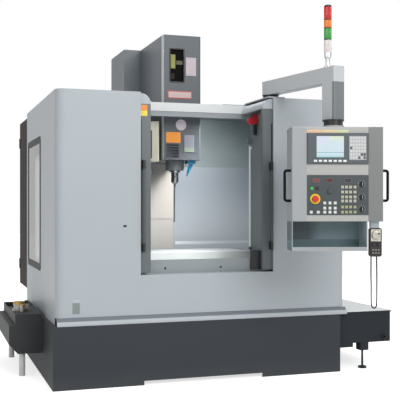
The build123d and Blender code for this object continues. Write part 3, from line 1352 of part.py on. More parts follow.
def pendant_housing():
    """The pendant's body: a deep box behind a bevelled face, and the open tray below it."""
    half = PENDANT_WIDTH / 2
    body = block((-half, half), (FACE_THICK, PENDANT_DEPTH), (PENDANT_FOOT, PENDANT_TOP))
    body = fillet(body.edges().filter_by(Axis.Z).group_by(Axis.Y)[-1], 15)
    face = block((-half, half), (0, FACE_THICK), (PENDANT_FOOT, PENDANT_TOP))
    face = chamfer(face.edges().group_by(Axis.Y)[0], 4)
    body += face
    body -= block(DISPLAY, (0, 30), DISPLAY_Z)
    body -= block(PANEL, (0, 30), PANEL_Z)
    tray_outer = block((-half, TRAY_RIGHT), (0, PENDANT_DEPTH - 30), (TRAY_BOTTOM, PENDANT_FOOT))
    tray_inner = block(
        (-half + TRAY_WALL, TRAY_RIGHT - TRAY_WALL),
        (TRAY_WALL, PENDANT_DEPTH - 30 - TRAY_WALL),
        (TRAY_BOTTOM + TRAY_WALL, PENDANT_FOOT),
    )
    mouth = block(
        (-half + TRAY_WALL, TRAY_RIGHT - TRAY_WALL), (0, TRAY_WALL), (TRAY_BOTTOM + TRAY_LIP, PENDANT_FOOT)
    )
    hook = block(around(WHEELBOX_U, 28), (WHEELBOX_V[1] - 12, WHEELBOX_V[1] + 20), (WHEELBOX_Z[1], PENDANT_FOOT))
    gland = Pos(CORD[-1][0], CORD[-1][1], PENDANT_FOOT - 8) * Cylinder(9, 16)
    swivel = upright(SWIVEL_U, SWIVEL_V, (PENDANT_TOP, ARM_DROP_BOTTOM - FLUSH), SWIVEL_RADIUS)
    waist = (PENDANT_TOP + 22, PENDANT_TOP + 52)
    swivel -= upright(SWIVEL_U, SWIVEL_V, waist, SWIVEL_RADIUS + 1) - upright(
        SWIVEL_U, SWIVEL_V, waist, SWIVEL_RADIUS - 8
    )
    pin = upright(SWIVEL_U, SWIVEL_V, (ARM_DROP_BOTTOM - FLUSH, ARM_DROP_BOTTOM + 55), SWIVEL_PIN)
    body = body + (tray_outer - tray_inner - mouth) + hook + gland + swivel + pin
    return solids(PENDANT * body)


def display_unit():
    """The display's bezel, set into the face, with its sunk screen, keypad field and soft keys."""
    bezel = block(DISPLAY, (-DISPLAY_RISE, 30), DISPLAY_Z)
    bezel = chamfer(bezel.edges().group_by(Axis.Y)[0], 5)
    bezel -= block(SCREEN, (-DISPLAY_RISE, -DISPLAY_RISE + 4), SCREEN_Z)
    bezel -= block(KEYPAD, (-DISPLAY_RISE, -DISPLAY_RISE + 2), KEYPAD_Z)
    for index in range(7):
        u = -148 + index * 32
        bezel += block(around(u, 10), (-DISPLAY_RISE - 3, -DISPLAY_RISE), around(1535, 6))
    return solids(PENDANT * bezel)


def key_places():
    """The middles of the operator panel's square keys."""
    places = [(u, z) for u in (-86, -52, -18) for z in (1263, 1230, 1204)]
    places += [(u, z) for u in (30, 56, 82, 111) for z in (1366, 1334, 1302, 1276, 1237, 1204)]
    places += [(-174, 1204), (-128, 1204)]
    return places


def operator_panel():
    """The dark control plate, drilled for its buttons and knobs, with the stop button's ring."""
    plate = block(PANEL, (-PANEL_RISE, 30), PANEL_Z)
    front = -PANEL_RISE
    ring = along_y(STOP_U, (front - 6, front), STOP_Z, STOP_RING)
    plate += ring
    plate -= along_y(STOP_U, (front - 6, 25), STOP_Z, 11.5)
    for u in (START_U, HOLD_U):
        plate -= along_y(u, (front, 20), BUTTON_Z, BUTTON_RADIUS + 0.5)
    for z in KNOB_ROWS:
        plate -= along_y(KNOB_U, (front, 20), z, KNOB_STEM + JOURNAL_CLEAR)
    plate += along_y(-51, (front - 16, front), 1341, 15)
    for low, high in ((-167, -115), (-77, -31), (40, 91)):
        plate += block((low, high), (front - 2, front), (1394, 1425))
    return solids(PENDANT * plate)


def panel_keys():
    """The square keys, as separate pieces on the operator panel."""
    keys = []
    half = KEY_SIZE / 2
    for u, z in key_places():
        key = block(around(u, half), (-PANEL_RISE - KEY_RISE, -PANEL_RISE), around(z, half))
        keys += solids(PENDANT * key)
    return keys


def emergency_stop():
    """The mushroom button and its plunger."""
    front = -PANEL_RISE - 6
    cap = along_y(STOP_U, (front - 26, front - 12), STOP_Z, STOP_CAP)
    cap = fillet(cap.edges().group_by(Axis.Y)[0], 6)
    stem = along_y(STOP_U, (front - 12, 15), STOP_Z, 11)
    return solids(PENDANT * (cap + stem))


def round_button(u):
    """A flush round button with its plunger, in the operator panel."""
    front = -PANEL_RISE - BUTTON_RISE
    body = along_y(u, (front, 12), BUTTON_Z, BUTTON_RADIUS)
    body = chamfer(body.edges().group_by(Axis.Y)[0], 1.5)
    return solids(PENDANT * body)


def knob(z):
    """A rotary selector: a round skirt, a grip bar and its stem."""
    front = -PANEL_RISE - FLUSH
    skirt = along_y(KNOB_U, (front - 7, front), z, KNOB_RADIUS)
    grip = block(around(KNOB_U, 4.5), (front - KNOB_RISE, front - 7), around(z, KNOB_RADIUS - 2))
    grip = fillet(grip.edges().filter_by(Axis.Y), 3)
    stem = along_y(KNOB_U, (front, 15), z, KNOB_STEM)
    return solids(PENDANT * (skirt + grip + stem))


def pendant_handles():
    """Two bent handles, one on each side of the pendant."""
    half = PENDANT_WIDTH / 2
    low, high = HANDLE_Z
    reach = half + HANDLE_REACH
    path = FilletPolyline(
        (half, HANDLE_V, low + HANDLE_BAR),
        (reach - HANDLE_BAR, HANDLE_V, low + HANDLE_BAR),
        (reach - HANDLE_BAR, HANDLE_V, high - HANDLE_BAR),
        (half, HANDLE_V, high - HANDLE_BAR),
        radius=14,
    )
    section = Plane(origin=path @ 0, z_dir=path % 0) * Circle(HANDLE_BAR)
    right = sweep(section, path=path)
    return solids(PENDANT * right, PENDANT * flip(right))


def handwheel_box():
    """The hand-held pulse box that hangs beside the tray, rounded and waisted."""
    u = around(WHEELBOX_U, WHEELBOX_WIDTH / 2)
    body = block(u, WHEELBOX_V, (WHEELBOX_Z[0], WHEELBOX_Z[1]))
    body = fillet(body.edges().filter_by(Axis.Y), 14)
    body = chamfer(body.edges().group_by(Axis.Y)[0], 3)
    for side in (-16, 16):
        body += along_y(WHEELBOX_U + side, (WHEELBOX_V[0] - 14, WHEELBOX_V[0]), DIAL_Z - 58, 10)
    body -= along_y(WHEELBOX_U, (WHEELBOX_V[0] - 1, WHEELBOX_V[0] + 16), DIAL_Z, KNOB_STEM + JOURNAL_CLEAR)
    return solids(PENDANT * body)


def handwheel_dial():
    """The dial with its finger knob."""
    front = WHEELBOX_V[0] - FLUSH
    dial = along_y(WHEELBOX_U, (front - 10, front), DIAL_Z, DIAL_RADIUS)
    dial = chamfer(dial.edges().group_by(Axis.Y)[0], 2)
    finger = along_y(WHEELBOX_U + 15, (front - 20, front - 10), DIAL_Z + 8, 5)
    stem = along_y(WHEELBOX_U, (front, front + 14), DIAL_Z, KNOB_STEM)
    return solids(PENDANT * (dial + finger + stem))


# The pulse box's cord, from the box's underside down to its loop and up to the pendant, as u, v, w
CORD = [
    (WHEELBOX_U + 10, 30, WHEELBOX_Z[0]),
    (WHEELBOX_U + 10, 30, 866),
    (WHEELBOX_U + 12, 31, 790),
    (WHEELBOX_U + 11, 29, 712),
    (WHEELBOX_U + 11, 28, 640),
    (WHEELBOX_U + 9, 30, 577),
    (WHEELBOX_U - 15, 66, 574),
    (WHEELBOX_U - 17, 68, 636),
    (WHEELBOX_U - 16, 67, 712),
    (WHEELBOX_U - 18, 69, 796),
    (WHEELBOX_U - 17, 68, 880),
    (WHEELBOX_U - 18, 70, 964),
    (WHEELBOX_U - 16, 76, 1036),
    (WHEELBOX_U - 16, 85, 1088),
    (WHEELBOX_U - 16, 85, PENDANT_FOOT - 16),
]


def corner_radii(points):
    """For each inner point, 0.45 of the shorter run over the tangent of half the turn."""
    spots = [Vector(*point) for point in points]
    radii = []
    for before, here, after in zip(spots, spots[1:], spots[2:]):
        run_in = here - before
        run_out = after - here
        turn = radians(run_in.get_angle(run_out))
        radii.append(0.45 * min(run_in.length, run_out.length) / tan(turn / 2))
    return radii


def handwheel_cord():
    """The hanging loop of cord, one tube."""
    radii = corner_radii(CORD)
    print("cord radii", [round(r, 1) for r in radii])
    path = FilletPolyline(*CORD, radius=radii)
    tube = sweep(Plane(origin=path @ 0, z_dir=path % 0) * Circle(CORD_RADIUS), path=path)
    print("cord length", round(path.length, 1), "volume ratio", tube.volume / (pi * CORD_RADIUS**2 * path.length))
    return solids(PENDANT * tube)


def mirrored(pieces):
    """The right-hand copies of some left-hand solids."""
    return solids(*[flip(piece) for piece in pieces])


def build():
    """All the sub-parts, each a list of solids under its node's name."""
    parts = {
        "base_casting": base_casting(),
        "base_skirt": base_skirt(),
        "leveling_feet": leveling_feet(),
        "column": column(),
        "guide_rails": guide_rails(),
        "front_panel": front_panel(),
        "side_panels": side_panels(),
        "side_window": side_window(),
        "rear_roof_panels": rear_roof_panels(),
        "door_jambs": door_jambs(),
        "door_header": door_header(),
        "inner_guards": inner_guards() + z_cover_low(),
        "work_light": work_light(),
        "door_interlock": door_interlock(),
        "electrical_cabinet": electrical_cabinet(),
        "coolant_tank": coolant_tank(),
        "chip_tank": chip_tank(),
        "coolant_pump": coolant_pump(),
        "axis_motors": axis_motors(),
        "atc_cam_box": atc_cam_box(),
        "arm_base": arm_base(),
        "saddle": saddle(),
        "x_motor": x_motor(),
        "y_apron": y_apron(),
        "table": table(),
        "head_casting": head_casting(),
        "head_cover": head_cover(),
        "spindle_motor": spindle_motor(),
        "coolant_nozzles": coolant_nozzles(),
        "z_cover_upper": z_cover_upper(),
        "spindle": spindle(),
        "tool_holder": tool_holder(),
        "x_ballscrew": x_ballscrew(),
        "y_ballscrew": y_ballscrew(),
        "z_ballscrew": z_ballscrew(),
        "atc_shaft": atc_shaft(),
        "atc_arm": atc_arm(),
        "tool_magazine": tool_magazine(),
        "left_door": left_door(),
        "left_door_glass": left_door_glass(),
        "right_door": mirrored(left_door()),
        "right_door_glass": mirrored(left_door_glass()),
        "cabinet_door": cabinet_door(),
        "main_switch": main_switch(),
        "pendant_arm": pendant_arm(),
        "signal_tower": signal_tower(),
        "pendant_housing": pendant_housing(),
        "display_unit": display_unit(),
        "operator_panel": operator_panel(),
        "panel_keys": panel_keys(),
        "emergency_stop": emergency_stop(),
        "start_button": round_button(START_U),
        "hold_button": round_button(HOLD_U),
        "pendant_handles": pendant_handles(),
        "handwheel_box": handwheel_box(),
        "handwheel_dial": handwheel_dial(),
        "handwheel_cord": handwheel_cord(),
    }
    for name, z in zip(("feed_knob", "spindle_knob", "mode_knob"), KNOB_ROWS):
        parts[name] = knob(z)
    return parts


def footprint(parts):
    """The shift that puts the origin under the middle of everything but the cord."""
    kept = [solid for name, pieces in parts.items() if name != "handwheel_cord" for solid in pieces]
    box = Compound(kept).bounding_box()
    return Pos(-(box.min.X + box.max.X) / 2, -(box.min.Y + box.max.Y) / 2, 0)


def main():
    """Builds every sub-part and writes one STEP file for each."""
    os.makedirs("parts", exist_ok=True)
    parts = build()
    shift = footprint(parts)
    print("origin shift", shift.position)
    for name, pieces in parts.items():
        export_step(Compound([shift * piece for piece in pieces]), f"parts/{name}.step")


if __name__ == "__main__":
    main()
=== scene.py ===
from math import atan2, cos, pi, radians, sin

import bmesh
import bpy
import numpy as np
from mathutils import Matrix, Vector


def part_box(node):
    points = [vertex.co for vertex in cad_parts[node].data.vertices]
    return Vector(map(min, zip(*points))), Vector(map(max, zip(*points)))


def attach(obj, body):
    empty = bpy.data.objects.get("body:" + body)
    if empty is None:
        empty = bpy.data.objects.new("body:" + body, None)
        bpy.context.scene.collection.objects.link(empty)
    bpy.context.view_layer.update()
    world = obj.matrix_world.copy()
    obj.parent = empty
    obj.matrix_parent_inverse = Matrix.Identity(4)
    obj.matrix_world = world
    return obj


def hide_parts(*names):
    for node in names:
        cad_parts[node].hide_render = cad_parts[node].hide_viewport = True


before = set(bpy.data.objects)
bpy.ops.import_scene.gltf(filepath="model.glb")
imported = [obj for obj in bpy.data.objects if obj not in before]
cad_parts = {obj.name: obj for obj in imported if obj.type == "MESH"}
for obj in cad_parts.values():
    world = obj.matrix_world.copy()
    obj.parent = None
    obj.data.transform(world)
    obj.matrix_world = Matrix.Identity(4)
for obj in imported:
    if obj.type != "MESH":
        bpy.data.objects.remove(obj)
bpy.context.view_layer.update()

bl_info = {
    "name": "Machining centre dressing",
    "version": (1, 0, 0),
    "blender": (4, 5, 0),
    "location": "3D view > Sidebar > Machine",
    "description": "Dresses the packed machining centre with its finishes, trim, lamps and stage",
    "category": "Object",
}

# Sizes below are millimetres in the part's working frame: X from the door opening's middle, Y from
# the front panel, Z from the floor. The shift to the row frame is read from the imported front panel,
# whose low corner lies at PANEL_CORNER in the working frame.
MM = 0.001
PANEL_CORNER = np.array([-1092.0, -37.0, 0.0])
PANEL_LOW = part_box("front_panel")[0]
SHIFT = np.array([PANEL_LOW[0], PANEL_LOW[1], 0.0]) - PANEL_CORNER * MM

# Planes that pieces are set on
PANEL_FACE = -0.2
DOOR_FRONT, DOOR_BACK = 22, 57
HEAD_FACE = 650

# Planes at which a finish changes
BACK_WALL, BACK_WALL_SHEET = 1668.5, 12
ROOF_PLANE = 2037
FLANGE_FACE = 3
TANK_LID = 438
TRAY_TOP, TRAY_MIDDLE = 1143, 1020
ARM_SHADE = -672

# Middles of the head's window, the side window and the keypad, and the tiers of the signal tower
HEAD_WINDOW = (-42.5, 2351)
SIDE_WINDOW = (-1090.5, 1177.5, 1262.5)
KEYPAD = (128.5, 1619)
TIERS = (2279, 2370, 2448, 2505, 2594)

# Pendant placement: its face's middle and its turn about Z
PENDANT_AT = (606.0, -800.0)
PENDANT_YAW = radians(-16)

# Directions: the working frame's own, and the pendant's right (U) and back (V)
X_AXIS = np.array([1.0, 0.0, 0.0])
Y_AXIS = np.array([0.0, 1.0, 0.0])
Z_AXIS = np.array([0.0, 0.0, 1.0])
PENDANT_RIGHT = np.array([cos(PENDANT_YAW), sin(PENDANT_YAW), 0.0])
PENDANT_BACK = np.array([-sin(PENDANT_YAW), cos(PENDANT_YAW), 0.0])
DIRECTIONS = {"X": X_AXIS, "Y": Y_AXIS, "Z": Z_AXIS, "U": PENDANT_RIGHT, "V": PENDANT_BACK}

# The pulse box's cord, as points right, back and up in the pendant's frame, in millimetres
CORD_ROUTE = [
    (262, 30, 914), (262, 30, 866), (264, 31, 790), (263, 29, 712), (263, 28, 640), (261, 30, 577),
    (237, 66, 574), (235, 68, 636), (236, 67, 712), (234, 69, 796), (235, 68, 880), (234, 70, 964),
    (236, 76, 1036), (236, 85, 1088), (236, 85, 1127),
]
CORD_DIAMETER = 8.0

# The photograph's camera: its place and its direction over the floor
CAMERA_AT = (-1929, -5594, 1250)
CAMERA_WAY = (0.3157, 0.9489)

# Strength of the white surround on the object; directly seen it is 1
AMBIENT = 0.38
# Light that the floor gives off where it is seen directly, which lifts it to white
FLOOR_LIFT = 0.68

SMOOTH_BELOW = radians(30)
DUST = (150, 148, 142)


def row(x, y, z):
    """A working-frame point in millimetres, as a row-frame point in metres."""
    return np.array([x, y, z], float) * MM + SHIFT


def on_pendant(u, v, w):
    """A point given right, back and up in the pendant's own frame, in millimetres."""
    return row(*(np.array([*PENDANT_AT, 0.0]) + u * PENDANT_RIGHT + v * PENDANT_BACK + w * Z_AXIS))


# Surfaces. Each is a pair: an array of points in metres and a list of face arrays. What a surface is
# made from is given in millimetres.


def grid_faces(rows, columns, wrap_rows=False):
    """Quads between neighbouring points of a grid stored row by row. Each row's ends are joined, and
    the last row to the first one where wrap_rows is set."""
    r, c = np.meshgrid(np.arange(rows if wrap_rows else rows - 1), np.arange(columns), indexing="ij")
    r, c = r.ravel(), c.ravel()
    r2, c2 = (r + 1) % rows, (c + 1) % columns
    return np.stack([r * columns + c, r * columns + c2, r2 * columns + c2, r2 * columns + c], axis=1)


def stacked(rings):
    """A closed skin over rings of points laid one above another: neighbouring rings are joined by
    quads, and the first and last are closed by a fan to their own mean point."""
    k, n, _ = rings.shape
    points = np.vstack([rings.reshape(-1, 3), rings[0].mean(axis=0), rings[-1].mean(axis=0)])
    i = np.arange(n)
    j = (i + 1) % n
    bottom = np.stack([j, i, np.full(n, k * n)], axis=1)
    top = np.stack([(k - 1) * n + i, (k - 1) * n + j, np.full(n, k * n + 1)], axis=1)
    return points, [grid_faces(k, n), bottom, top]


def rounded_outline(half_x, half_y, radius, steps):
    """A rectangle's outline whose corners are quarter circles of the given radius."""
    radius = max(min(radius, half_x, half_y), 1e-6)
    t = np.linspace(0, pi / 2, steps)
    corners = []
    for k, (side_x, side_y) in enumerate(((1, 1), (-1, 1), (-1, -1), (1, -1))):
        x = side_x * (half_x - radius) + radius * np.cos(t + k * pi / 2)
        y = side_y * (half_y - radius) + radius * np.sin(t + k * pi / 2)
        corners.append(np.stack([x, y], 1))
    return np.vstack(corners)


def rounded_rings(half_x, half_y, radius, section, steps):
    """A rounded rectangle's outline repeated for each (outward, height) point of a section: larger by
    the outward distance, at that height."""
    rings = []
    for outward, height in section:
        flat = rounded_outline(half_x + outward, half_y + outward, max(radius + outward, 0.05), steps)
        rings.append(np.column_stack([flat, np.full(len(flat), height)]))
    return np.asarray(rings) * MM


def plate(half_x, half_y, radius, levels):
    """A rounded rectangle carried up through levels: at each (height, inset) the outline is drawn in
    by the inset, so the sides can be bevelled, crowned or stepped."""
    return stacked(rounded_rings(half_x, half_y, radius, [(-inset, height) for height, inset in levels], 5))


def thin_plate(half_x, half_y, radius, height, bevel=0.5):
    """A flat plate with a 45 degree bevel round its front."""
    return plate(half_x, half_y, radius, [(0, 0), (height - bevel, 0), (height, bevel)])


def turned(profile, segments=40, ribs=0, depth=0.0):
    """A profile of (radius, height) turned round the height axis, its radius rippled by a cosine of
    the angle where ribs are asked for."""
    profile = np.asarray(profile, float)
    angle = np.linspace(0, 2 * pi, segments, endpoint=False)
    r = profile[:, :1] + depth * np.cos(ribs * angle)
    z = np.repeat(profile[:, 1:], segments, axis=1)
    return stacked(np.stack([r * np.cos(angle), r * np.sin(angle), z], axis=2) * MM)


def framed(half_x, half_y, radius, section):
    """A closed moulding round a rounded rectangle, whose section is carried once round."""
    rings = rounded_rings(half_x, half_y, radius, section, 6)
    return rings.reshape(-1, 3), [grid_faces(*rings.shape[:2], wrap_rows=True)]


def prism(outline, height):
    """A straight-sided block over an outline of points."""
    rings = [[(x, y, z) for x, y in outline] for z in (0, height)]
    return stacked(np.asarray(rings) * MM)


def socket_screw(radius, height):
    """A socket-head screw: a turned head with a bevelled rim and a sunk round socket."""
    r, h = radius, height
    return turned([(r, 0), (r, h * 0.8), (r * 0.9, h), (r * 0.5, h), (r * 0.46, h * 0.45)], 16)


def placed(shape, origin, right=X_AXIS, up=Y_AXIS):
    """A surface set at an origin in metres, its own X along right, its Y along up, its Z outwards."""
    points, faces = shape
    return points @ np.stack([right, up, np.cross(right, up)]) + np.asarray(origin), faces


def joined(shapes):
    """Several surfaces as one."""
    points, faces, start = [], [], 0
    for some_points, some_faces in shapes:
        points.append(some_points)
        faces += [face + start for face in some_faces]
        start += len(some_points)
    return np.vstack(points), faces


def ring_of(shape, middle, radius, degrees, right, up):
    """Copies of a surface in a ring round a working-frame point, at angles that run from right to up."""
    copies = []
    for angle in np.radians(degrees):
        outward = cos(angle) * right + sin(angle) * up
        copies.append(placed(shape, row(*middle) + radius * MM * outward, right, up))
    return joined(copies)


def on_wall(shape, x, y, z, right=X_AXIS):
    """Sets a surface on an upright wall at a working-frame point. Right is what it is for someone who
    looks at the wall, so the wall faces the operator unless another direction is given."""
    return placed(shape, row(x, y, z), right, Z_AXIS)


def on_face(shape, u, v, w):
    """Sets a surface on the pendant's face."""
    return placed(shape, on_pendant(u, v, w), PENDANT_RIGHT, Z_AXIS)


def piece(name, shape, body, material, replaces=()):
    """Makes a mesh object from a surface, gives it its finish and lets it ride on a body."""
    points, faces = shape
    mesh = bpy.data.meshes.new(name)
    mesh.from_pydata(points.tolist(), [], [corners for face in faces for corners in face.tolist()])
    work = bmesh.new()
    work.from_mesh(mesh)
    bmesh.ops.remove_doubles(work, verts=work.verts, dist=1e-6)
    bmesh.ops.recalc_face_normals(work, faces=work.faces)
    work.to_mesh(mesh)
    work.free()
    mesh.materials.append(material)
    obj = bpy.data.objects.new(name, mesh)
    bpy.context.scene.collection.objects.link(obj)
    mesh.shade_smooth()
    mesh.set_sharp_from_angle(angle=SMOOTH_BELOW)
    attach(obj, body)
    if replaces:
        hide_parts(*replaces)


def dress(nodes, material):
    """Gives its finish to each CAD node that is named in a string."""
    for node in nodes.split():
        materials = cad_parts[node].data.materials
        materials.clear()
        materials.append(material)


# Shader nodes and the effects that several finishes share

VECTOR, COLOUR, FLOAT = "NodeSocketVector", "NodeSocketColor", "NodeSocketFloat"


class Tree:
    """A node tree being built."""

    def __init__(self, tree):
        self.nodes, self.links = tree.nodes, tree.links

    def put(self, socket, value):
        """Gives a socket another node's output, or a constant."""
        if isinstance(value, bpy.types.NodeSocket):
            self.links.new(value, socket)
        else:
            socket.default_value = value

    def add(self, kind, inputs, **settings):
        """A node with its settings, and with values on its named or numbered inputs."""
        node = self.nodes.new("ShaderNode" + kind)
        for label, value in settings.items():
            setattr(node, label, value)
        for label, value in inputs.items():
            self.put(node.inputs[label], value)
        return node

    def math(self, operation, a, b):
        """The result of a Math node over two values."""
        return self.add("Math", {0: a, 1: b}, operation=operation).outputs[0]

    def scaled(self, colour, value):
        """A colour made lighter or darker by a value."""
        return self.add("VectorMath", {0: colour, "Scale": value}, operation="SCALE").outputs[0]

    def noise(self, vector, scale, detail):
        """A noise texture's value."""
        return self.add("TexNoise", {"Vector": vector, "Scale": scale, "Detail": detail}).outputs["Fac"]

    def seen_directly(self):
        """1 for camera, glossy and transmission rays."""
        path = self.nodes.new("ShaderNodeLightPath").outputs
        seen = self.math("MAXIMUM", path["Is Camera Ray"], path["Is Glossy Ray"])
        return self.math("MAXIMUM", seen, path["Is Transmission Ray"])


def new_group(name, inputs, outputs):
    """An empty node group that takes a Vector and the inputs, each named with its socket's kind. It
    comes with its tree, its given values and its results, both by name."""
    group = bpy.data.node_groups.new(name, "ShaderNodeTree")
    for side, sockets in (("INPUT", {"Vector": VECTOR, **inputs}), ("OUTPUT", outputs)):
        for label, kind in sockets.items():
            group.interface.new_socket(name=label, in_out=side, socket_type=kind)
    given = group.nodes.new("NodeGroupInput").outputs
    return group, Tree(group), given, group.nodes.new("NodeGroupOutput").inputs


def tone_drift_group(name):
    """Colour that drifts a little lighter and darker over a broad noise."""
    group, tree, given, result = new_group(
        name, {"Color": COLOUR, "Scale": FLOAT, "Amount": FLOAT}, {"Color": COLOUR, "Mask": FLOAT})
    noise = tree.noise(given["Vector"], given["Scale"], 4)
    swing = tree.math("MULTIPLY", tree.math("SUBTRACT", noise, 0.5), given["Amount"])
    value = tree.math("ADD", tree.math("MULTIPLY", swing, 2.0), 1.0)
    tree.put(result["Color"], tree.scaled(given["Color"], value))
    tree.put(result["Mask"], noise)
    return group


def coat_texture_group(name):
    """The fine orange-peel height of sprayed paint or a moulded skin, with a slower waviness."""
    group, tree, given, result = new_group(
        name, {"Fine Scale": FLOAT, "Wave Scale": FLOAT, "Wave": FLOAT}, {"Height": FLOAT})
    fine = tree.noise(given["Vector"], given["Fine Scale"], 2)
    slow = tree.noise(given["Vector"], given["Wave Scale"], 2)
    height = tree.math("ADD", fine, tree.math("MULTIPLY", slow, given["Wave"]))
    tree.put(result["Height"], height)
    return group


def ground_lines_group(name):
    """Fine parallel lines of ground or brushed metal: noise stretched along one direction."""
    group, tree, given, result = new_group(name, {"Stretch": VECTOR}, {"Height": FLOAT})
    stretched = tree.add("VectorMath", {0: given["Vector"], 1: given["Stretch"]}, operation="MULTIPLY")
    tree.put(result["Height"], tree.noise(stretched.outputs[0], 1.0, 3))
    return group


GROUPS = {
    "Tone drift": tone_drift_group,
    "Coat texture": coat_texture_group,
    "Ground lines": ground_lines_group,
}


def linear(colour):
    """An 8-bit screen colour as linear light, with alpha."""
    c = np.asarray(colour, float) / 255
    c = np.where(c <= 0.04045, c / 12.92, ((c + 0.055) / 1.055) ** 2.4)
    return (*c.tolist(), 1.0)


class Finish(Tree):
    """A material being built on its Principled BSDF, in object coordinates. Where values are given
    by name, an underscore stands for a space."""

    def __init__(self, name):
        self.material = bpy.data.materials.new(name)
        self.material.use_nodes = True
        super().__init__(self.material.node_tree)
        self.shader = self.nodes["Principled BSDF"]
        self.where = self.nodes.new("ShaderNodeTexCoord").outputs["Object"]

    def group(self, name, **values):
        """The results of a shared effect."""
        inputs = {label.replace("_", " "): value for label, value in values.items()}
        effect = bpy.data.node_groups.get(name) or GROUPS[name](name)
        return self.add("Group", {"Vector": self.where, **inputs}, node_tree=effect).outputs

    def along(self, axis):
        """The object coordinate along a direction."""
        inputs = {0: self.where, 1: tuple(DIRECTIONS[axis])}
        return self.add("VectorMath", inputs, operation="DOT_PRODUCT").outputs["Value"]

    def mix(self, mask, a, b):
        """The first colour where the mask is 0, the second where it is 1."""
        return self.add("Mix", {"Factor": mask, "A": a, "B": b}, data_type="RGBA").outputs["Result"]

    def spread(self, mask, low, high):
        """A mask's 0 to 1 as a value from low to high."""
        return self.add("MapRange", {"Value": mask, "To Min": low, "To Max": high}).outputs["Result"]

    def tone(self, colour, regions, scale, amount):
        """The drifting colour and its mask. Each region is (mask maker, colour) and takes over where
        its mask is 1."""
        base = linear(colour)
        for maker, other in regions:
            base = self.mix(maker(self), base, linear(other))
        return self.group("Tone drift", Color=base, Scale=scale, Amount=amount)

    def dusty(self, base, height, depth, amount):
        """A colour with thin dust that gathers below a height and breaks up in patches."""
        fall = self.math("DIVIDE", self.math("SUBTRACT", height, self.along("Z")), depth)
        clamped = self.add("Clamp", {"Value": fall}).outputs[0]
        patch = self.math("MULTIPLY", clamped, self.noise(self.where, 9.0, 6))
        return self.mix(self.math("MULTIPLY", patch, amount), base, linear(DUST))

    def shade(self, **values):
        """Gives the shader's inputs their values."""
        for label, value in values.items():
            self.put(self.shader.inputs[label.replace("_", " ")], value)

    def bump(self, height, strength, distance):
        """Lets a height stir the normal."""
        inputs = {"Strength": strength, "Distance": distance, "Height": height}
        self.shade(Normal=self.add("Bump", inputs).outputs["Normal"])

    def coat(self, fine, slow, wave, strength, distance):
        """A bump of fine grain with slower waves."""
        grain = self.group("Coat texture", Fine_Scale=fine, Wave_Scale=slow, Wave=wave)
        self.bump(grain["Height"], strength, distance)


def painted(name, colour, rough=0.42, drift=0.05, coat=0.15, drift_scale=1.6, dust_below=None, shine=0.35,
            regions=()):
    """Sprayed or powder-coated metal: drifting tone, orange peel, and patches of thin dust low down."""
    f = Finish(name)
    tone = f.tone(colour, regions, drift_scale, drift)
    base = tone["Color"]
    if dust_below is not None:
        base = f.dusty(base, dust_below, depth=0.35, amount=0.35)
    f.shade(Base_Color=base, Roughness=f.spread(tone["Mask"], rough - 0.05, rough + 0.07),
            Coat_Weight=coat, Coat_Roughness=0.3, Specular_IOR_Level=shine)
    f.coat(fine=480.0, slow=22.0, wave=0.6, strength=0.25, distance=0.00025)
    return f.material


def metal(name, colour, rough=0.3, stretch=(6.0, 500.0, 500.0), strength=0.3, metallic=1.0, regions=()):
    """Ground, brushed or turned metal: lines along one direction that also stir the roughness."""
    f = Finish(name)
    tone = f.tone(colour, regions, 4.0, 0.06)
    lines = f.group("Ground lines", Stretch=stretch)["Height"]
    f.shade(Base_Color=tone["Color"], Roughness=f.spread(lines, rough - 0.08, rough + 0.12),
            Metallic=metallic)
    f.bump(lines, strength, 0.0002)
    return f.material


def plastic(name, colour, rough=0.4, grain=900.0, coat=0.0, shine=0.4, regions=()):
    """Moulded plastic or rubber with a fine even grain."""
    f = Finish(name)
    tone = f.tone(colour, regions, 12.0, 0.04)
    f.shade(Base_Color=tone["Color"], Roughness=f.spread(tone["Mask"], rough - 0.04, rough + 0.06),
            Coat_Weight=coat, Coat_Roughness=0.12, Specular_IOR_Level=shine)
    f.coat(fine=grain, slow=60.0, wave=0.2, strength=0.3, distance=0.00015)
    return f.material


def glowing(name, colour, strength, rough=0.35, regions=()):
    """A lamp or lit screen: its own light over a frosted skin that is darker the more it shines."""
    f = Finish(name)
    tone = f.tone(colour, regions, 30.0, 0.04)["Color"]
    skin = f.scaled(tone, max(1.0 - strength, 0.0))
    f.shade(Base_Color=skin, Emission_Color=tone, Emission_Strength=strength, Roughness=rough)
    f.coat(fine=700.0, slow=80.0, wave=0.2, strength=0.1, distance=0.0001)
    return f.material


def clear(name, colour, weight, shine=0.5, regions=()):
    """Clear or tinted pane: transmission with faint smears in its roughness."""
    f = Finish(name)
    tone = f.tone(colour, regions, 3.0, 0.03)
    f.shade(Base_Color=tone["Color"], Roughness=f.spread(tone["Mask"], 0.05, 0.11),
            Transmission_Weight=weight, IOR=1.45, Specular_IOR_Level=shine)
    return f.material


# Region makers. Each gives a mask in a finish, from planes in millimetres: along X, Y or Z of the
# working frame, or along U (right) or V (back) of the pendant.


def plane(axis, value):
    """How far a plane lies along its direction in the row frame, in metres."""
    origin = on_pendant(0, 0, 0) if axis in "UV" else SHIFT
    return float(origin @ DIRECTIONS[axis]) + value * MM


def above(axis, value):
    """What lies past a plane."""
    return lambda f: f.math("GREATER_THAN", f.along(axis), plane(axis, value))


def below(axis, value):
    """What lies short of a plane."""
    return lambda f: f.math("LESS_THAN", f.along(axis), plane(axis, value))


def between(axis, low, high):
    """The slab between two planes."""
    return within(above(axis, low), below(axis, high))


def fading(axis, start, end):
    """A smooth fall from 1 at one plane to 0 at another."""
    def maker(f):
        inputs = {"Value": f.along(axis), "From Min": plane(axis, start), "From Max": plane(axis, end),
                  "To Min": 1.0, "To Max": 0.0}
        return f.add("MapRange", inputs, interpolation_type="SMOOTHSTEP").outputs["Result"]
    return maker


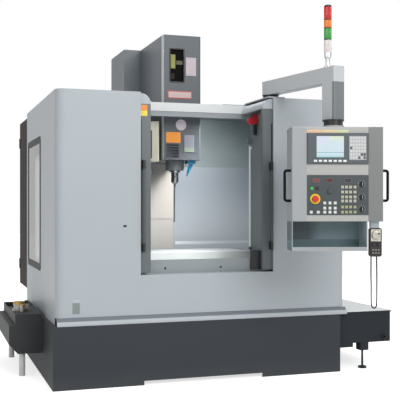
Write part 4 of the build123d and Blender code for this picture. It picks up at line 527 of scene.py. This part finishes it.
def within(*makers):
    """Where all of several regions meet."""
    def maker(f):
        mask = makers[0](f)
        for other in makers[1:]:
            mask = f.math("MULTIPLY", mask, other(f))
        return mask
    return maker


# Settings that a user would change


def paint_setting(name, part, default):
    """A property for a part's colour, as 8-bit screen values."""
    return bpy.props.FloatVectorProperty(
        name=name, description=f"Colour of the {part}, as screen values", default=default,
        min=0, max=255, size=3)


class EnclosureSettings(bpy.types.PropertyGroup):
    panel: paint_setting("Panel paint", "sheet panels", (178, 185, 190))
    plinth: paint_setting("Plinth paint", "base skirt", (60, 64, 69))
    seal_width: bpy.props.FloatProperty(
        name="Window seal", description="Width of the side window's rubber seal", default=0.052,
        unit="LENGTH")


class HeadSettings(bpy.types.PropertyGroup):
    cover: paint_setting("Head paint", "head's cover", (92, 98, 104))


class PendantSettings(bpy.types.PropertyGroup):
    body: paint_setting("Pendant paint", "pendant's body", (158, 162, 164))
    screen: bpy.props.FloatProperty(
        name="Screen brightness", description="Light given by the display", default=0.55, min=0, max=5)


class TowerSettings(bpy.types.PropertyGroup):
    ribs: bpy.props.IntProperty(
        name="Lens ribs", description="Ribs round each lamp tier", default=36, min=8, max=90)


class StageSettings(bpy.types.PropertyGroup):
    floor_size: bpy.props.FloatProperty(
        name="Floor size", description="Side of the square floor", default=60.0, unit="LENGTH")
    lens: bpy.props.FloatProperty(
        name="Lens", description="Camera focal length", default=74.34, subtype="DISTANCE_CAMERA")


# Finishes that several groups share


def shared(make, name, colour, **options):
    """A finish made once and then found by its name."""
    return bpy.data.materials.get(name) or make(name, colour, **options)


def rubber():
    """Black rubber of seals and gaskets."""
    return shared(plastic, "seal rubber", (26, 27, 29), rough=0.62, grain=600.0)


def black_plastic():
    """Black mouldings of knobs, collars and rims."""
    return shared(plastic, "black moulding", (24, 24, 26), rough=0.42, coat=0.1)


def dark_steel():
    """Blackened steel of screws and holders."""
    return shared(metal, "blackened steel", (70, 70, 72), rough=0.42)


class MACHINE_OT_enclosure(bpy.types.Operator):
    """Finishes the panels, plinth, jambs, guards and side window"""

    bl_idname = "machine.enclosure"
    bl_label = "Enclosure"

    def execute(self, context):
        settings = context.scene.machine_enclosure
        self.outside(settings)
        self.inside()
        self.side_window(settings.seal_width / MM)
        self.small_parts()
        return {"FINISHED"}

    def outside(self, settings):
        """The panels, their foot flange's fold in painted shade and its lip in a painted highlight, the rear
        wall and the skirt.
        """
        # painted shade on the foot flange's fold, and a painted highlight on the lip below it
        flange = below("Y", FLANGE_FACE)
        dress("front_panel side_panels", painted(
            "panel paint", settings.panel, rough=0.44, drift=0.035, coat=0.08, shine=0.25, regions=[
                (within(between("Z", 459, 484), flange), (116, 122, 129)),
                (within(below("Z", 457), flange), (184, 190, 195))]))
        back_face = within(between("Y", BACK_WALL - BACK_WALL_SHEET, BACK_WALL), below("Z", ROOF_PLANE))
        dress("rear_roof_panels", painted(
            "rear paint", settings.panel, rough=0.44, shine=0.25, regions=[(back_face, (190, 204, 205))]))
        # painted shade: the skirt's left side, turned from the lamps, is painted darker
        skirt_left_painted_shade = below("X", -1116)
        dress("base_skirt", painted(
            "plinth paint", settings.plinth, rough=0.6, drift=0.07, coat=0.0, dust_below=0.12, shine=0.15,
            regions=[(skirt_left_painted_shade, (46, 49, 53))]))

    def inside(self):
        """The jambs, header, guards, work light and door interlock."""
        right_foot = within(between("X", 355, 440), below("Z", 930))
        dress("door_jambs", painted("jamb paint", (94, 99, 100), drift=0.08, coat=0.1, regions=[
            (above("X", 440), (116, 122, 125)), (right_foot, (40, 44, 46))]))
        dress("door_header", painted("header paint", (220, 223, 224), rough=0.36, drift=0.03, regions=[
            (below("Z", 1965), (150, 157, 162))]))
        low_cover = within(between("X", -141, 141), above("Z", 612), above("Y", 1360))
        sill_wall = below("Y", 140)
        # painted shade: the guard's colour darkens smoothly from the middle height towards its bottom
        guard = painted(
            "guard paint", (192, 199, 205), rough=0.3, drift=0.06, coat=0.4, drift_scale=2.6, regions=[
                (fading("Z", 1520, 950), (146, 154, 162)),
                (low_cover, (208, 205, 199)),
                (sill_wall, (150, 157, 161))])
        dress("inner_guards", guard)
        # folded strips in the guard's paint behind the guard's slot, put there to fill its gap so no dark
        # shade shows, clear of the head cover's sides and its carriages
        strips = []
        for side in (-1, 1):
            strips.append(on_wall(thin_plate(10, 245, 0.5, 1.4), side * 151.2, 1377.5, 855))
            strips.append(on_wall(thin_plate(18, 240, 0.5, 1.4), side * 166.5, 1411.5, 1342))
        piece("guard_slot_strips", joined(strips), "frame", guard)
        dress("work_light", glowing("lamp tube", (206, 216, 221), 0.35, regions=[
            (above("Z", 1685), (190, 204, 208)), (below("Z", 925), (52, 56, 58))]))
        lock_head = within(above("Z", 1860), below("Y", 302.5))
        dress("door_interlock", painted(
            "interlock shell", (34, 34, 36), rough=0.45, coat=0.1, regions=[(lock_head, (206, 48, 56))]))

    def side_window(self, width):
        """The seal is a moulding round the hole, and the pane a thin plate inside it."""
        half_y, half_z = 392.5, 512.5
        section = [(5, 1.6), (5, 4.2), (1, 5.4), (-width * 0.5, 4.6), (-width * 0.9, 3.4), (-width, 0),
                   (-width * 0.9, -3.4), (-0.5, -4.2), (-0.5, 1.6)]
        seal = framed(half_y, half_z, 30, section)
        piece("side_window_seal", on_wall(seal, *SIDE_WINDOW, -Y_AXIS), "frame", rubber(),
              replaces=("side_window",))
        pane = plate(half_y - width + 3, half_z - width + 3, 20, [(-1.5, 0), (1.5, 0)])
        # painted light: the pane's front part is painted bright where the lit inside shows through it
        painted_light_patch = within(fading("Y", 1020, 1180), fading("Z", 860, 780), fading("Z", 1580, 1660))
        tint = clear("side pane", (66, 73, 76), 0.2, shine=0.05, regions=[(painted_light_patch, (188, 196, 203))])
        piece("side_window_pane", on_wall(pane, *SIDE_WINDOW, -Y_AXIS), "frame", tint)

    def small_parts(self):
        """The panel's lock, the bare plate at its foot and the screws of the sill."""
        lock = [plate(13, 7, 6.8, [(0, 0), (2.2, 0), (3.4, 1.4)]), turned([(4.6, 3), (4.6, 5), (3.6, 6)], 20)]
        piece("panel_lock", on_wall(joined(lock), -616, PANEL_FACE, 1104), "frame", dark_steel())
        tag = painted("tag grey", (134, 140, 140), rough=0.4, drift=0.1, drift_scale=40.0, regions=[
            (above("Z", 584), (188, 194, 196))])
        bare = on_wall(thin_plate(25, 48, 2, 1.2), -955, PANEL_FACE, 556)
        piece("foot_plate", bare, "frame", tag)
        screws = [on_wall(socket_screw(7.5, 5), x, 97, 797) for x in (-298, 124)]
        piece("sill_screws", joined(screws), "frame", dark_steel())


class MACHINE_OT_doors(bpy.types.Operator):
    """Finishes the sliding doors, their hoods, grips, panes and gaskets"""

    bl_idname = "machine.doors"
    bl_label = "Doors"

    def execute(self, context):
        # the hood keeps the paint's own colour; the leaf below it and the grip before it are darker
        grip = below("Y", 21)
        leaf = painted("door paint", (178, 185, 190), drift=0.04, regions=[
            (below("Z", 1960), (100, 107, 109)),
            (grip, (26, 27, 28)),
            (within(grip, between("Z", 985, 1500)), (74, 78, 80))])
        section = [(3, 0), (3, 3), (0, 4.4), (-9, 3.6), (-10, 0), (-9, -13), (-0.5, -13), (-0.5, 0)]
        gasket = framed(200, 400, 4, section)
        for side, middle in (("left", -695), ("right", 695)):
            dress(f"{side}_door", leaf)
            dress(f"{side}_door_glass", clear(f"{side} door pane", (178, 192, 196), 0.8))
            for face, y, right in (("front", DOOR_FRONT, X_AXIS), ("back", DOOR_BACK, -X_AXIS)):
                ring = on_wall(gasket, middle, y, 1450, right)
                piece(f"{side}_pane_gasket_{face}", ring, f"{side}_door_body", rubber())
        for name, z, colour in (("upper", 1932.5, (236, 140, 46)), ("lower", 1893.5, (236, 214, 70))):
            label = on_wall(thin_plate(32, 19.3, 2, 1.2), -482, DOOR_FRONT, z)
            piece(f"door_label_{name}", label, "left_door_body", painted(f"label {name}", colour, rough=0.35))
        return {"FINISHED"}


class MACHINE_OT_head(bpy.types.Operator):
    """Finishes the head, spindle and tool, and fits the cover's plates and window frame"""

    bl_idname = "machine.head"
    bl_label = "Head"

    def execute(self, context):
        self.finishes(context.scene.machine_head.cover)
        self.window()
        self.plates()
        return {"FINISHED"}

    def finishes(self, cover):
        """The nodes that travel with the head."""
        # painted highlight along the cover's rounded left front corner
        painted_highlight_bend = within(below("X", -149), below("Y", 700))
        dress("head_cover", painted(
            "head paint", cover, rough=0.4, drift=0.06, coat=0.1, shine=0.25,
            regions=[(painted_highlight_bend, (208, 213, 216))]))
        dress("head_casting", painted("casting paint", (150, 156, 160), rough=0.55, drift=0.08))
        motor_plate = within(between("Z", 2330, 2420), between("X", -100, -48))
        dress("spindle_motor", painted("motor paint", (30, 31, 33), rough=0.5, regions=[
            (motor_plate, (176, 186, 66))]))
        dress("coolant_nozzles", plastic("hose blue", (38, 152, 200), rough=0.35, coat=0.2))
        dress("z_cover_upper", painted("cover sheet", (214, 210, 202), rough=0.34, coat=0.2))
        upright = (60.0, 60.0, 900.0)
        dress("spindle", metal("spindle steel", (188, 190, 192), rough=0.24, stretch=upright))
        dress("tool_holder", metal("holder steel", (150, 152, 156), rough=0.28, stretch=upright))

    def fit(self, name, shape, x, z, material, y=HEAD_FACE):
        """A piece on the head's front."""
        piece(name, on_wall(shape, x, y, z), "head_body", material)

    def window(self):
        """A near-black sheet of painted shade that stands for the head's dark inside, with the motor's parts
        dimly on it, and the rim in front.
        """
        # painted shade: the sheet is near black, with the motor's plate and parts painted on it in dimmed
        # colours
        shade_backing = painted("window painted shade", (14, 14, 13), rough=0.6, coat=0.0, shine=0.05, regions=[
            (within(between("X", -90, -52), between("Z", 2330, 2440)), (158, 160, 98)),
            (within(between("X", -44, 8), between("Z", 2362, 2392)), (112, 108, 92)),
            (within(between("X", -86, -60), between("Z", 2245, 2290)), (60, 56, 44))])
        self.fit("head_window_backing", thin_plate(57, 129.5, 2, 1.5), *HEAD_WINDOW, shade_backing, y=668)
        section = [(6, 0), (6, 2), (4, 3), (-3, 2.4), (-4, 0), (-3, -3), (-0.4, -3), (-0.4, 0)]
        self.fit("head_window_rim", framed(57.5, 130, 4, section), *HEAD_WINDOW, black_plastic())

    def plates(self):
        """The bare plates and the louvres below them."""
        self.fit("data_plate", thin_plate(42, 72, 3, 2), 73, 2347,
                 painted("data plate", (188, 176, 180), rough=0.4, drift=0.08, drift_scale=30.0))
        self.fit("badge_blank", thin_plate(101, 31, 4, 2.4), -20, 2120,
                 painted("badge red", (176, 74, 70), rough=0.35))
        self.fit("badge_inset", plate(93, 23, 3, [(2.4, 0), (3.0, 0), (3.5, 0.5)]), -20, 2120,
                 painted("badge grey", (196, 172, 168), rough=0.3))
        disc = turned([(43.5, 0), (43.5, 2), (41, 3.2), (30, 3.2), (28.5, 2.2), (3, 2.2)])
        self.fit("round_plate", disc, -10, 1882, painted("plate white", (214, 204, 214), rough=0.35))
        self.fit("orange_plate", thin_plate(59.5, 42, 3, 2), -73.5, 1783,
                 painted("plate orange", (240, 150, 30), rough=0.38))
        smoke = plastic("smoke plate", (132, 138, 150), rough=0.2, coat=0.4, regions=[
            (below("Z", 1706), (140, 156, 138))])
        self.fit("grey_plate", thin_plate(41.5, 67.5, 3, 4.5, bevel=1.5), 56.5, 1735.5, smoke)
        count, low, height = 6, 1624, 109
        blade = prism([(-55, 0), (55, 0), (55, 1.4), (-55, 1.4)], 7)
        louvres = [placed(blade, (k + 0.5) * height / count * MM * Y_AXIS) for k in range(count)]
        self.fit("vent_louvres", joined(louvres), -77.5, low, painted("vent dark", (38, 32, 42), rough=0.4),
                 y=HEAD_FACE + 0.5)


class MACHINE_OT_changer(bpy.types.Operator):
    """Finishes the tool changer and fills part of its magazine"""

    bl_idname = "machine.changer"
    bl_label = "Tool changer"

    def execute(self, context):
        dress("atc_cam_box", painted("changer cream", (214, 210, 192)))
        dress("atc_shaft", metal("shaft steel", (176, 178, 180), rough=0.2, stretch=(60.0, 60.0, 700.0)))
        dress("atc_arm", metal(
            "arm steel", (128, 132, 134), rough=0.38, stretch=(90.0, 90.0, 90.0), strength=0.2))
        pots = above("X", -859)
        dress("tool_magazine", painted("magazine paint", (214, 211, 198), rough=0.45, regions=[
            (pots, (48, 49, 52))]))
        slot_cover = plate(60, 110, 4, [(0, 0), (4, 0), (5, 1.5)])
        piece("changer_slot_cover", on_wall(slot_cover, -320, 611.5, 1720), "frame",
              painted("slot bronze", (74, 66, 40), rough=0.4))
        screws = ring_of(socket_screw(5, 5), (-300, 855, 1486), 46, range(0, -360, -60), X_AXIS, -Y_AXIS)
        piece("arm_hub_screws", screws, "changer_arm_body", dark_steel())
        holder = turned([(20, -2), (31.5, 0), (31.5, 8), (27, 11), (27, 15), (31.5, 18), (31.5, 26), (24, 30),
                         (24, 52), (19, 56), (8, 56), (8, 84), (7, 86)], 28)
        filled_pots = (0, 1, 3, 4, 6, 9, 10, 12, 15, 16, 18)
        holders = ring_of(holder, (-740, 980, 1650), 295, [18 * pot for pot in filled_pots], Y_AXIS, Z_AXIS)
        piece("stored_holders", holders, "magazine_body", dark_steel())
        return {"FINISHED"}


class MACHINE_OT_axes(bpy.types.Operator):
    """Finishes the castings, ways, screws, saddle and table"""

    bl_idname = "machine.axes"
    bl_label = "Axes and castings"

    def execute(self, context):
        dress("base_casting saddle", painted("bed paint", (112, 117, 120), rough=0.58, drift=0.09))
        # painted light: the column's front, in the shaded gap behind the head, is painted near white
        column_front_painted_light = within(below("Y", 1424), between("X", -165, 250), below("Z", 1583))
        dress("column", painted("column paint", (106, 112, 117), rough=0.5, drift=0.06, regions=[
            (column_front_painted_light, (232, 232, 228))]))
        dress("guide_rails", metal("rail steel", (176, 178, 180), rough=0.22, stretch=(500.0, 6.0, 500.0)))
        for axis, direction in (("x", X_AXIS), ("y", Y_AXIS), ("z", Z_AXIS)):
            dress(f"{axis}_ballscrew", metal(
                f"{axis} screw steel", (168, 170, 172), rough=0.22, stretch=60.0 + 840.0 * direction))
        # painted light: the table's front face, shaded by the enclosure, is painted near white
        table_front_painted_light = below("Y", 603)
        dress("table", metal(
            "table steel", (176, 181, 184), rough=0.36, stretch=(8.0, 420.0, 420.0), metallic=0.15,
            regions=[(table_front_painted_light, (232, 236, 235))]))
        dress("y_apron", metal("apron sheet", (178, 182, 184), rough=0.34))
        dress("axis_motors x_motor", painted("servo paint", (28, 29, 31), rough=0.5))
        dress("leveling_feet", metal("foot steel", (140, 142, 144), rough=0.45))
        return {"FINISHED"}


class MACHINE_OT_services(bpy.types.Operator):
    """Finishes the tanks, pump and electrical cabinet"""

    bl_idname = "machine.services"
    bl_label = "Tanks and cabinet"

    def execute(self, context):
        lid, legs, pump_cap = above("Z", TANK_LID), below("Z", 169), above("Z", 502)
        dress("coolant_tank", painted(
            "coolant tank paint", (46, 50, 54), rough=0.55, coat=0.0, shine=0.1,
            regions=[(lid, (226, 229, 230))]))
        dress("chip_tank", painted(
            "chip tank paint", (62, 63, 64), rough=0.55, coat=0.0, shine=0.15,
            regions=[(legs, (226, 228, 229))]))
        dress("coolant_pump", metal(
            "pump metal", (150, 150, 146), rough=0.4, stretch=(80.0, 80.0, 80.0), metallic=0.8,
            regions=[(pump_cap, (164, 132, 70))]))
        dress("electrical_cabinet cabinet_door", painted(
            "cabinet paint", (46, 39, 38), rough=0.6, drift=0.06, coat=0.0, shine=0.05))
        dress("main_switch", plastic("switch red", (190, 30, 26), rough=0.35, coat=0.3))
        return {"FINISHED"}


class MACHINE_OT_pendant(bpy.types.Operator):
    """Finishes the swing arm and pendant, with its display, keys, lamps and pulse box"""

    bl_idname = "machine.pendant"
    bl_label = "Pendant"

    def execute(self, context):
        settings = context.scene.machine_pendant
        self.housing(settings.body)
        self.controls()
        self.pulse_box()
        self.display(settings.screen)
        self.keypad()
        self.readouts()
        self.knob_scales()
        return {"FINISHED"}

    def fit(self, name, shape, spots, material, slot="display_grey"):
        """A piece on the pendant's face: the shape repeated at each (right, back, up) spot."""
        piece(name, joined([on_face(shape, *spot) for spot in spots]), "pendant_body", material)

    def housing(self, colour):
        """The housing with its face's margins and its tray, and the arm that carries it."""
        margins = within(below("Z", 1757), below("V", 3), above("Z", TRAY_TOP))
        tray = within(below("Z", TRAY_TOP), above("V", 4))
        lid = above("Z", 1779)
        dress("pendant_housing", painted("pendant paint", colour, rough=0.38, coat=0.25, regions=[
            (within(margins, above("U", -200)), (172, 172, 169)),
            (within(margins, above("U", 200)), (120, 122, 122)),
            (tray, (124, 145, 152)),
            (within(tray, fading("U", -170, -60)), (72, 86, 93)),
            (within(tray, below("Z", TRAY_MIDDLE)), (92, 116, 121)),
            (within(tray, above("U", 188)), (176, 190, 194)),
            (lid, (20, 21, 23))]))
        # painted light and shade: the arm's side is painted light and its front face darker, as light falls
        # on them
        arm_front_painted_shade = within(below("Z", 2070), below("Y", ARM_SHADE))
        dress("pendant_arm", painted("arm paint", (194, 198, 200), rough=0.4, drift=0.04, regions=[
            (arm_front_painted_shade, (118, 124, 127))]))
        pivot_cap = above("Z", 2050)
        dress("arm_base", painted("pivot paint", (178, 185, 190), regions=[(pivot_cap, (28, 29, 31))]))

    def controls(self):
        """The display unit, the operator panel and what is pressed or turned on it."""
        dress("display_unit", plastic("bezel grey", (76, 84, 88), coat=0.1))
        dress("operator_panel", plastic("panel graphite", (62, 70, 72), rough=0.42))
        right_keys = above("U", 10)
        dress("panel_keys", plastic("key cream", (214, 214, 210), regions=[
            (right_keys, (178, 178, 158)),
            (within(right_keys, below("Z", 1256)), (158, 160, 118))]))
        dress("emergency_stop", plastic("stop red", (206, 34, 24), rough=0.28, coat=0.4))
        dress("start_button", plastic("start green", (60, 176, 84), rough=0.3, coat=0.3))
        dress("hold_button feed_knob spindle_knob mode_knob handwheel_dial", black_plastic())
        dress("pendant_handles", plastic("handle black", (12, 12, 13), rough=0.5, shine=0.1))
        ring = turned([(33, 0), (33, 5), (31, 6.8), (21.5, 6.8), (20.5, 5)])
        self.fit("stop_ring_cover", ring, [(-148, -4, 1289)],
                 plastic("stop yellow", (240, 200, 40), rough=0.35), "panel_dark")

    def pulse_box(self):
        """The hand pulse box: its pale plate, its six keys and its dial's scale."""
        pale_plate = within(between("Z", 1014, 1092), between("U", 220, 284), below("V", 12))
        dress("handwheel_box", plastic("pulse box black", (30, 28, 27), rough=0.45, regions=[
            (pale_plate, (206, 200, 186))]))
        key = thin_plate(5.2, 4.2, 1.2, 2.8, bevel=0.8)
        spots = [(u, 10, w) for u in (234, 252, 270) for w in (938, 958)]
        self.fit("pulse_box_keys", key, spots, plastic("pulse key", (150, 146, 138)), "knob_black")
        dial = turned([(25.5, 0), (25.5, 1), (23, 1.6), (12, 1.6), (11, 0.8)], 48)
        piece("pulse_dial_scale", on_face(dial, 252, -0.4, 1055), "dial_body",
              metal("dial scale", (176, 172, 162)))

    def display(self, brightness):
        """The lit screen with its plain bands, and the strip above it."""
        lit = glowing("lit screen", (205, 222, 230), brightness, rough=0.15, regions=[
            (above("Z", 1668), (216, 226, 206)),
            (within(above("Z", 1650), below("U", -60)), (212, 218, 234)),
            (between("Z", 1586, 1592), (150, 190, 206)),
            (below("Z", 1572), (178, 216, 222))])
        screen = plate(89, 68.5, 2, [(-1, 0), (1.2, 0), (1.6, 0.5)])
        self.fit("display_screen", screen, [(-50.5, -10, 1627)], lit)
        strip = painted("strip orange", (224, 188, 152), rough=0.35, regions=[
            (above("U", -90), (220, 200, 156)), (above("U", 0), (204, 210, 168))])
        self.fit("display_strip", thin_plate(137, 9.5, 2, 1.2), [(-66, 0, 1727.5)], strip, "pendant_grey")

    def keypad(self):
        """Seven rows of six keys beside the screen, a few of them dark, and the soft keys below it."""
        u, w = KEYPAD
        field = thin_plate(56, 77.5, 2, 1.5)
        self.fit("keypad_field", field, [(u, -12, w)], plastic("keypad grey", (178, 180, 184)))
        light, dark = [], []
        for line in range(7):
            for column in range(6):
                spots = dark if (line, column) in ((0, 5), (1, 5), (1, 4), (0, 3), (3, 0)) else light
                spots.append((u + 17.6 * (column - 2.5), -13.4, w + 21 * (line - 3)))
        key = thin_plate(6.6, 7.4, 1.6, 3, bevel=0.8)
        self.fit("keypad_keys", key, light, plastic("keypad light", (208, 208, 206)))
        self.fit("keypad_keys_dark", key, dark, plastic("keypad dark", (70, 70, 76)))
        spots = [(-148 + 32 * k, -14, 1535) for k in range(7)]
        self.fit("soft_key_caps", thin_plate(10.4, 6.4, 1.5, 4.4, bevel=0.8), spots,
                 plastic("soft key white", (236, 238, 238), rough=0.35))

    def readouts(self):
        """The three small readouts above the keys."""
        for name, u, half, colour in (
            ("left", -141, 25.6, (128, 58, 62)),
            ("middle", -54, 22.6, (86, 22, 28)),
            ("right", 65.5, 25.1, (44, 46, 52)),
        ):
            bezel = thin_plate(half, 15.1, 2, 4, bevel=1)
            self.fit(f"readout_bezel_{name}", bezel, [(u, -4, 1409.5)],
                     plastic(f"readout rim {name}", (96, 92, 92)), "panel_dark")
            pane = plate(half - 5, 10, 1, [(3.4, 0), (4.3, 0), (4.6, 0.3)])
            self.fit(f"readout_{name}", pane, [(u, -4, 1409.5)],
                     plastic(f"readout {name}", colour, rough=0.12, coat=0.5), "panel_dark")

    def knob_scales(self):
        """A bar on each of the three knobs and nine ticks round it."""
        tick = plate(0.9, 3.2, 0.5, [(0, 0), (0.5, 0)])
        for name, z in (("feed", 1386), ("spindle", 1302), ("mode", 1224)):
            bar = on_face(thin_plate(1.1, 11, 1, 0.8, bevel=0.3), 156, -26.3, z)
            piece(f"{name}_knob_mark", bar, f"{name}_knob_body", plastic(f"{name} mark", (214, 216, 216)))
            ticks = []
            for k in range(9):
                angle = radians(-120 + 30 * k)
                outward = cos(angle) * Z_AXIS + sin(angle) * PENDANT_RIGHT
                across = cos(angle) * PENDANT_RIGHT - sin(angle) * Z_AXIS
                ticks.append(placed(tick, on_pendant(156, -4, z) + 23 * MM * outward, across, outward))
            piece(f"{name}_scale", joined(ticks), "pendant_body",
                  plastic(f"{name} scale white", (196, 200, 200), rough=0.5))


class MACHINE_OT_tower(bpy.types.Operator):
    """Builds the signal tower: fluted lamp tiers between black collars on a stem"""

    bl_idname = "machine.tower"
    bl_label = "Signal tower"

    def execute(self, context):
        low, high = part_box("signal_tower")
        self.middle = np.add(low, high) / 2 * (1, 1, 0)
        ribs = context.scene.machine_tower.ribs
        colours = (("clear", (222, 212, 212)), ("green", (52, 152, 60)), ("amber", (228, 124, 30)),
                   ("red", (196, 30, 26)))
        for (name, colour), bottom, top in zip(colours, TIERS[:-1], TIERS[1:]):
            lens = turned([(24.4, bottom + 1), (25.2, bottom + 3), (25.2, top - 7), (24.4, top - 5)],
                          ribs * 4, ribs, 0.6)
            self.fit(f"tower_lens_{name}", lens, glowing(f"{name} lens", colour, 0.12, rough=0.25),
                     "tower_lens", replaces=("signal_tower",))
        rings = [turned([(25.8, z - 4.6), (25.8, z + 0.6)]) for z in TIERS[1:4]]
        rings.append(turned([(25.8, 2589), (25.8, 2596), (22, 2602), (12, 2603.6), (2, 2604)]))
        self.fit("tower_collars", joined(rings), black_plastic(), "knob_black")
        stem = turned([(32.5, 2175), (32.5, 2184), (30, 2190), (17, 2193), (16, 2200), (16, 2236), (20, 2246),
                       (25.8, 2249), (25.8, 2280)])
        self.fit("tower_stem", stem, metal("bright steel", (196, 198, 200), rough=0.26), "knob_black")
        return {"FINISHED"}

    def fit(self, name, shape, material, slot, replaces=()):
        """A piece round the tower's middle line."""
        piece(name, placed(shape, self.middle), "swing_arm_body", material, replaces=replaces)


class MACHINE_OT_cord(bpy.types.Operator):
    """Hangs the pulse box's cord as a smooth loop"""

    bl_idname = "machine.cord"
    bl_label = "Pulse box cord"

    def execute(self, context):
        curve = bpy.data.curves.new("pulse_cord", "CURVE")
        curve.dimensions = "3D"
        curve.bevel_depth = CORD_DIAMETER * MM / 2
        curve.bevel_resolution = 4
        curve.use_fill_caps = True
        spline = curve.splines.new("NURBS")
        points = [on_pendant(*spot) for spot in CORD_ROUTE]
        spline.points.add(len(points) - 1)
        for slot, spot in zip(spline.points, points):
            slot.co = (*spot, 1.0)
        spline.order_u = 3
        spline.use_endpoint_u = True
        spline.resolution_u = 10
        curve.materials.append(plastic("cord black", (14, 14, 15), rough=0.7, grain=1400.0, shine=0.05))
        cord = bpy.data.objects.new("pulse_cord", curve)
        context.scene.collection.objects.link(cord)
        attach(cord, "pendant_body")
        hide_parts("handwheel_cord")
        return {"FINISHED"}


class MACHINE_OT_stage(bpy.types.Operator):
    """Sets the pale floor, the soft lamps, the white surround and the camera"""

    bl_idname = "machine.stage"
    bl_label = "Stage"

    def execute(self, context):
        scene = context.scene
        settings = scene.machine_stage
        self.floor(scene, settings.floor_size / 2)
        self.surround(scene)
        self.lamps(scene)
        self.camera(scene, settings.lens)
        scene.view_settings.view_transform = "Standard"
        return {"FINISHED"}

    def floor(self, scene, half):
        """A matt pale square; seen directly it is lifted to white, so only the shadow stays on it."""
        f = Finish("pale floor")
        f.shade(Base_Color=(0.86, 0.86, 0.86, 1), Roughness=0.9, Emission_Color=(1, 1, 1, 1),
                Emission_Strength=f.math("MULTIPLY", f.seen_directly(), FLOOR_LIFT))
        mesh = bpy.data.meshes.new("floor")
        corners = [(-half, -half, 0), (half, -half, 0), (half, half, 0), (-half, half, 0)]
        mesh.from_pydata(corners, [], [(0, 1, 2, 3)])
        mesh.materials.append(f.material)
        floor = bpy.data.objects.new("floor", mesh)
        scene.collection.objects.link(floor)

    def surround(self, scene):
        """A white world: full strength where it is seen directly, and AMBIENT on the object."""
        world = bpy.data.worlds.new("surround")
        world.use_nodes = True
        tree = Tree(world.node_tree)
        back = tree.nodes["Background"].inputs
        extra = tree.math("MULTIPLY", tree.seen_directly(), 1.0 - AMBIENT)
        tree.put(back["Strength"], tree.math("ADD", extra, AMBIENT))
        tree.put(back["Color"], (1, 1, 1, 1))
        scene.world = world

    def lamps(self, scene):
        """Four large soft lamps round the machine and two small hidden ones in its cabin."""
        self.lamp(scene, "key", (1.1, -7.1, 4.4), (0, 0, 1.0), 3.5, 245)
        self.lamp(scene, "fill", (-5.0, -5.0, 3.0), (-0.2, 0, 1.2), 3.5, 60)
        self.lamp(scene, "top", (0.0, -0.2, 5.6), (0, 0.1, 0.8), 3.0, 100)
        self.lamp(scene, "rear", (2.5, 6.5, 4.2), (0, 0.5, 1.2), 3.5, 130)
        # under the roof, as the machine's own lighting: a wide one for the rear guard, and a narrow
        # one for the table's front
        cabin = self.lamp(scene, "cabin", row(400, 620, 1880), row(60, 1350, 1000), 0.2, 7)
        table = self.lamp(scene, "table light", row(60, 380, 1900), row(0, 615, 860), 0.25, 3.0)
        for lamp, spread in ((cabin, 136), (table, 50)):
            lamp.data.spread = radians(spread)
            lamp.visible_camera = False

    def lamp(self, scene, name, spot, target, size, power):
        """A square area lamp aimed at a target, in row-frame metres."""
        light = bpy.data.lights.new(name, "AREA")
        light.shape = "SQUARE"
        light.size = size
        light.energy = power
        lamp = bpy.data.objects.new(name, light)
        way = np.array(target, float) - np.array(spot, float)
        lamp.location = spot
        lamp.rotation_euler = (atan2(np.hypot(way[0], way[1]), -way[2]), 0, atan2(way[1], way[0]) - pi / 2)
        scene.collection.objects.link(lamp)
        return lamp

    def camera(self, scene, lens):
        """The photograph's camera: level, with its picture shifted up a little."""
        camera = bpy.data.cameras.new("camera")
        camera.lens = lens
        camera.sensor_width = 36
        camera.shift_y = 0.0125
        eye = bpy.data.objects.new("camera", camera)
        eye.location = row(*CAMERA_AT)
        eye.rotation_euler = (pi / 2, 0, -atan2(*CAMERA_WAY))
        scene.collection.objects.link(eye)
        scene.camera = eye


OPERATORS = (
    MACHINE_OT_stage, MACHINE_OT_cord, MACHINE_OT_enclosure, MACHINE_OT_doors, MACHINE_OT_head,
    MACHINE_OT_changer, MACHINE_OT_axes, MACHINE_OT_services, MACHINE_OT_pendant, MACHINE_OT_tower,
)
SETTINGS = {
    "machine_enclosure": EnclosureSettings, "machine_head": HeadSettings, "machine_pendant": PendantSettings,
    "machine_tower": TowerSettings, "machine_stage": StageSettings,
}


class MACHINE_PT_panel(bpy.types.Panel):
    """Lists the pieces' operators and their settings"""

    bl_idname = "MACHINE_PT_panel"
    bl_label = "Machining centre"
    bl_space_type = "VIEW_3D"
    bl_region_type = "UI"
    bl_category = "Machine"

    def draw(self, context):
        for operator in OPERATORS:
            self.layout.operator(operator.bl_idname)
        for name, group in SETTINGS.items():
            box = self.layout.box()
            for label in group.__annotations__:
                box.prop(getattr(context.scene, name), label)


def register():
    """Registers the settings, operators and panel."""
    for name, group in SETTINGS.items():
        bpy.utils.register_class(group)
        setattr(bpy.types.Scene, name, bpy.props.PointerProperty(type=group))
    for item in OPERATORS + (MACHINE_PT_panel,):
        bpy.utils.register_class(item)


def unregister():
    """Removes what register added."""
    for item in reversed(OPERATORS + (MACHINE_PT_panel,)):
        bpy.utils.unregister_class(item)
    for name, group in SETTINGS.items():
        delattr(bpy.types.Scene, name)
        bpy.utils.unregister_class(group)


def main():
    """Builds everything in order."""
    register()
    for operator in OPERATORS:
        name = operator.bl_idname.split(".")[1]
        getattr(bpy.ops.machine, name)()


if __name__ == "__main__":
    main()
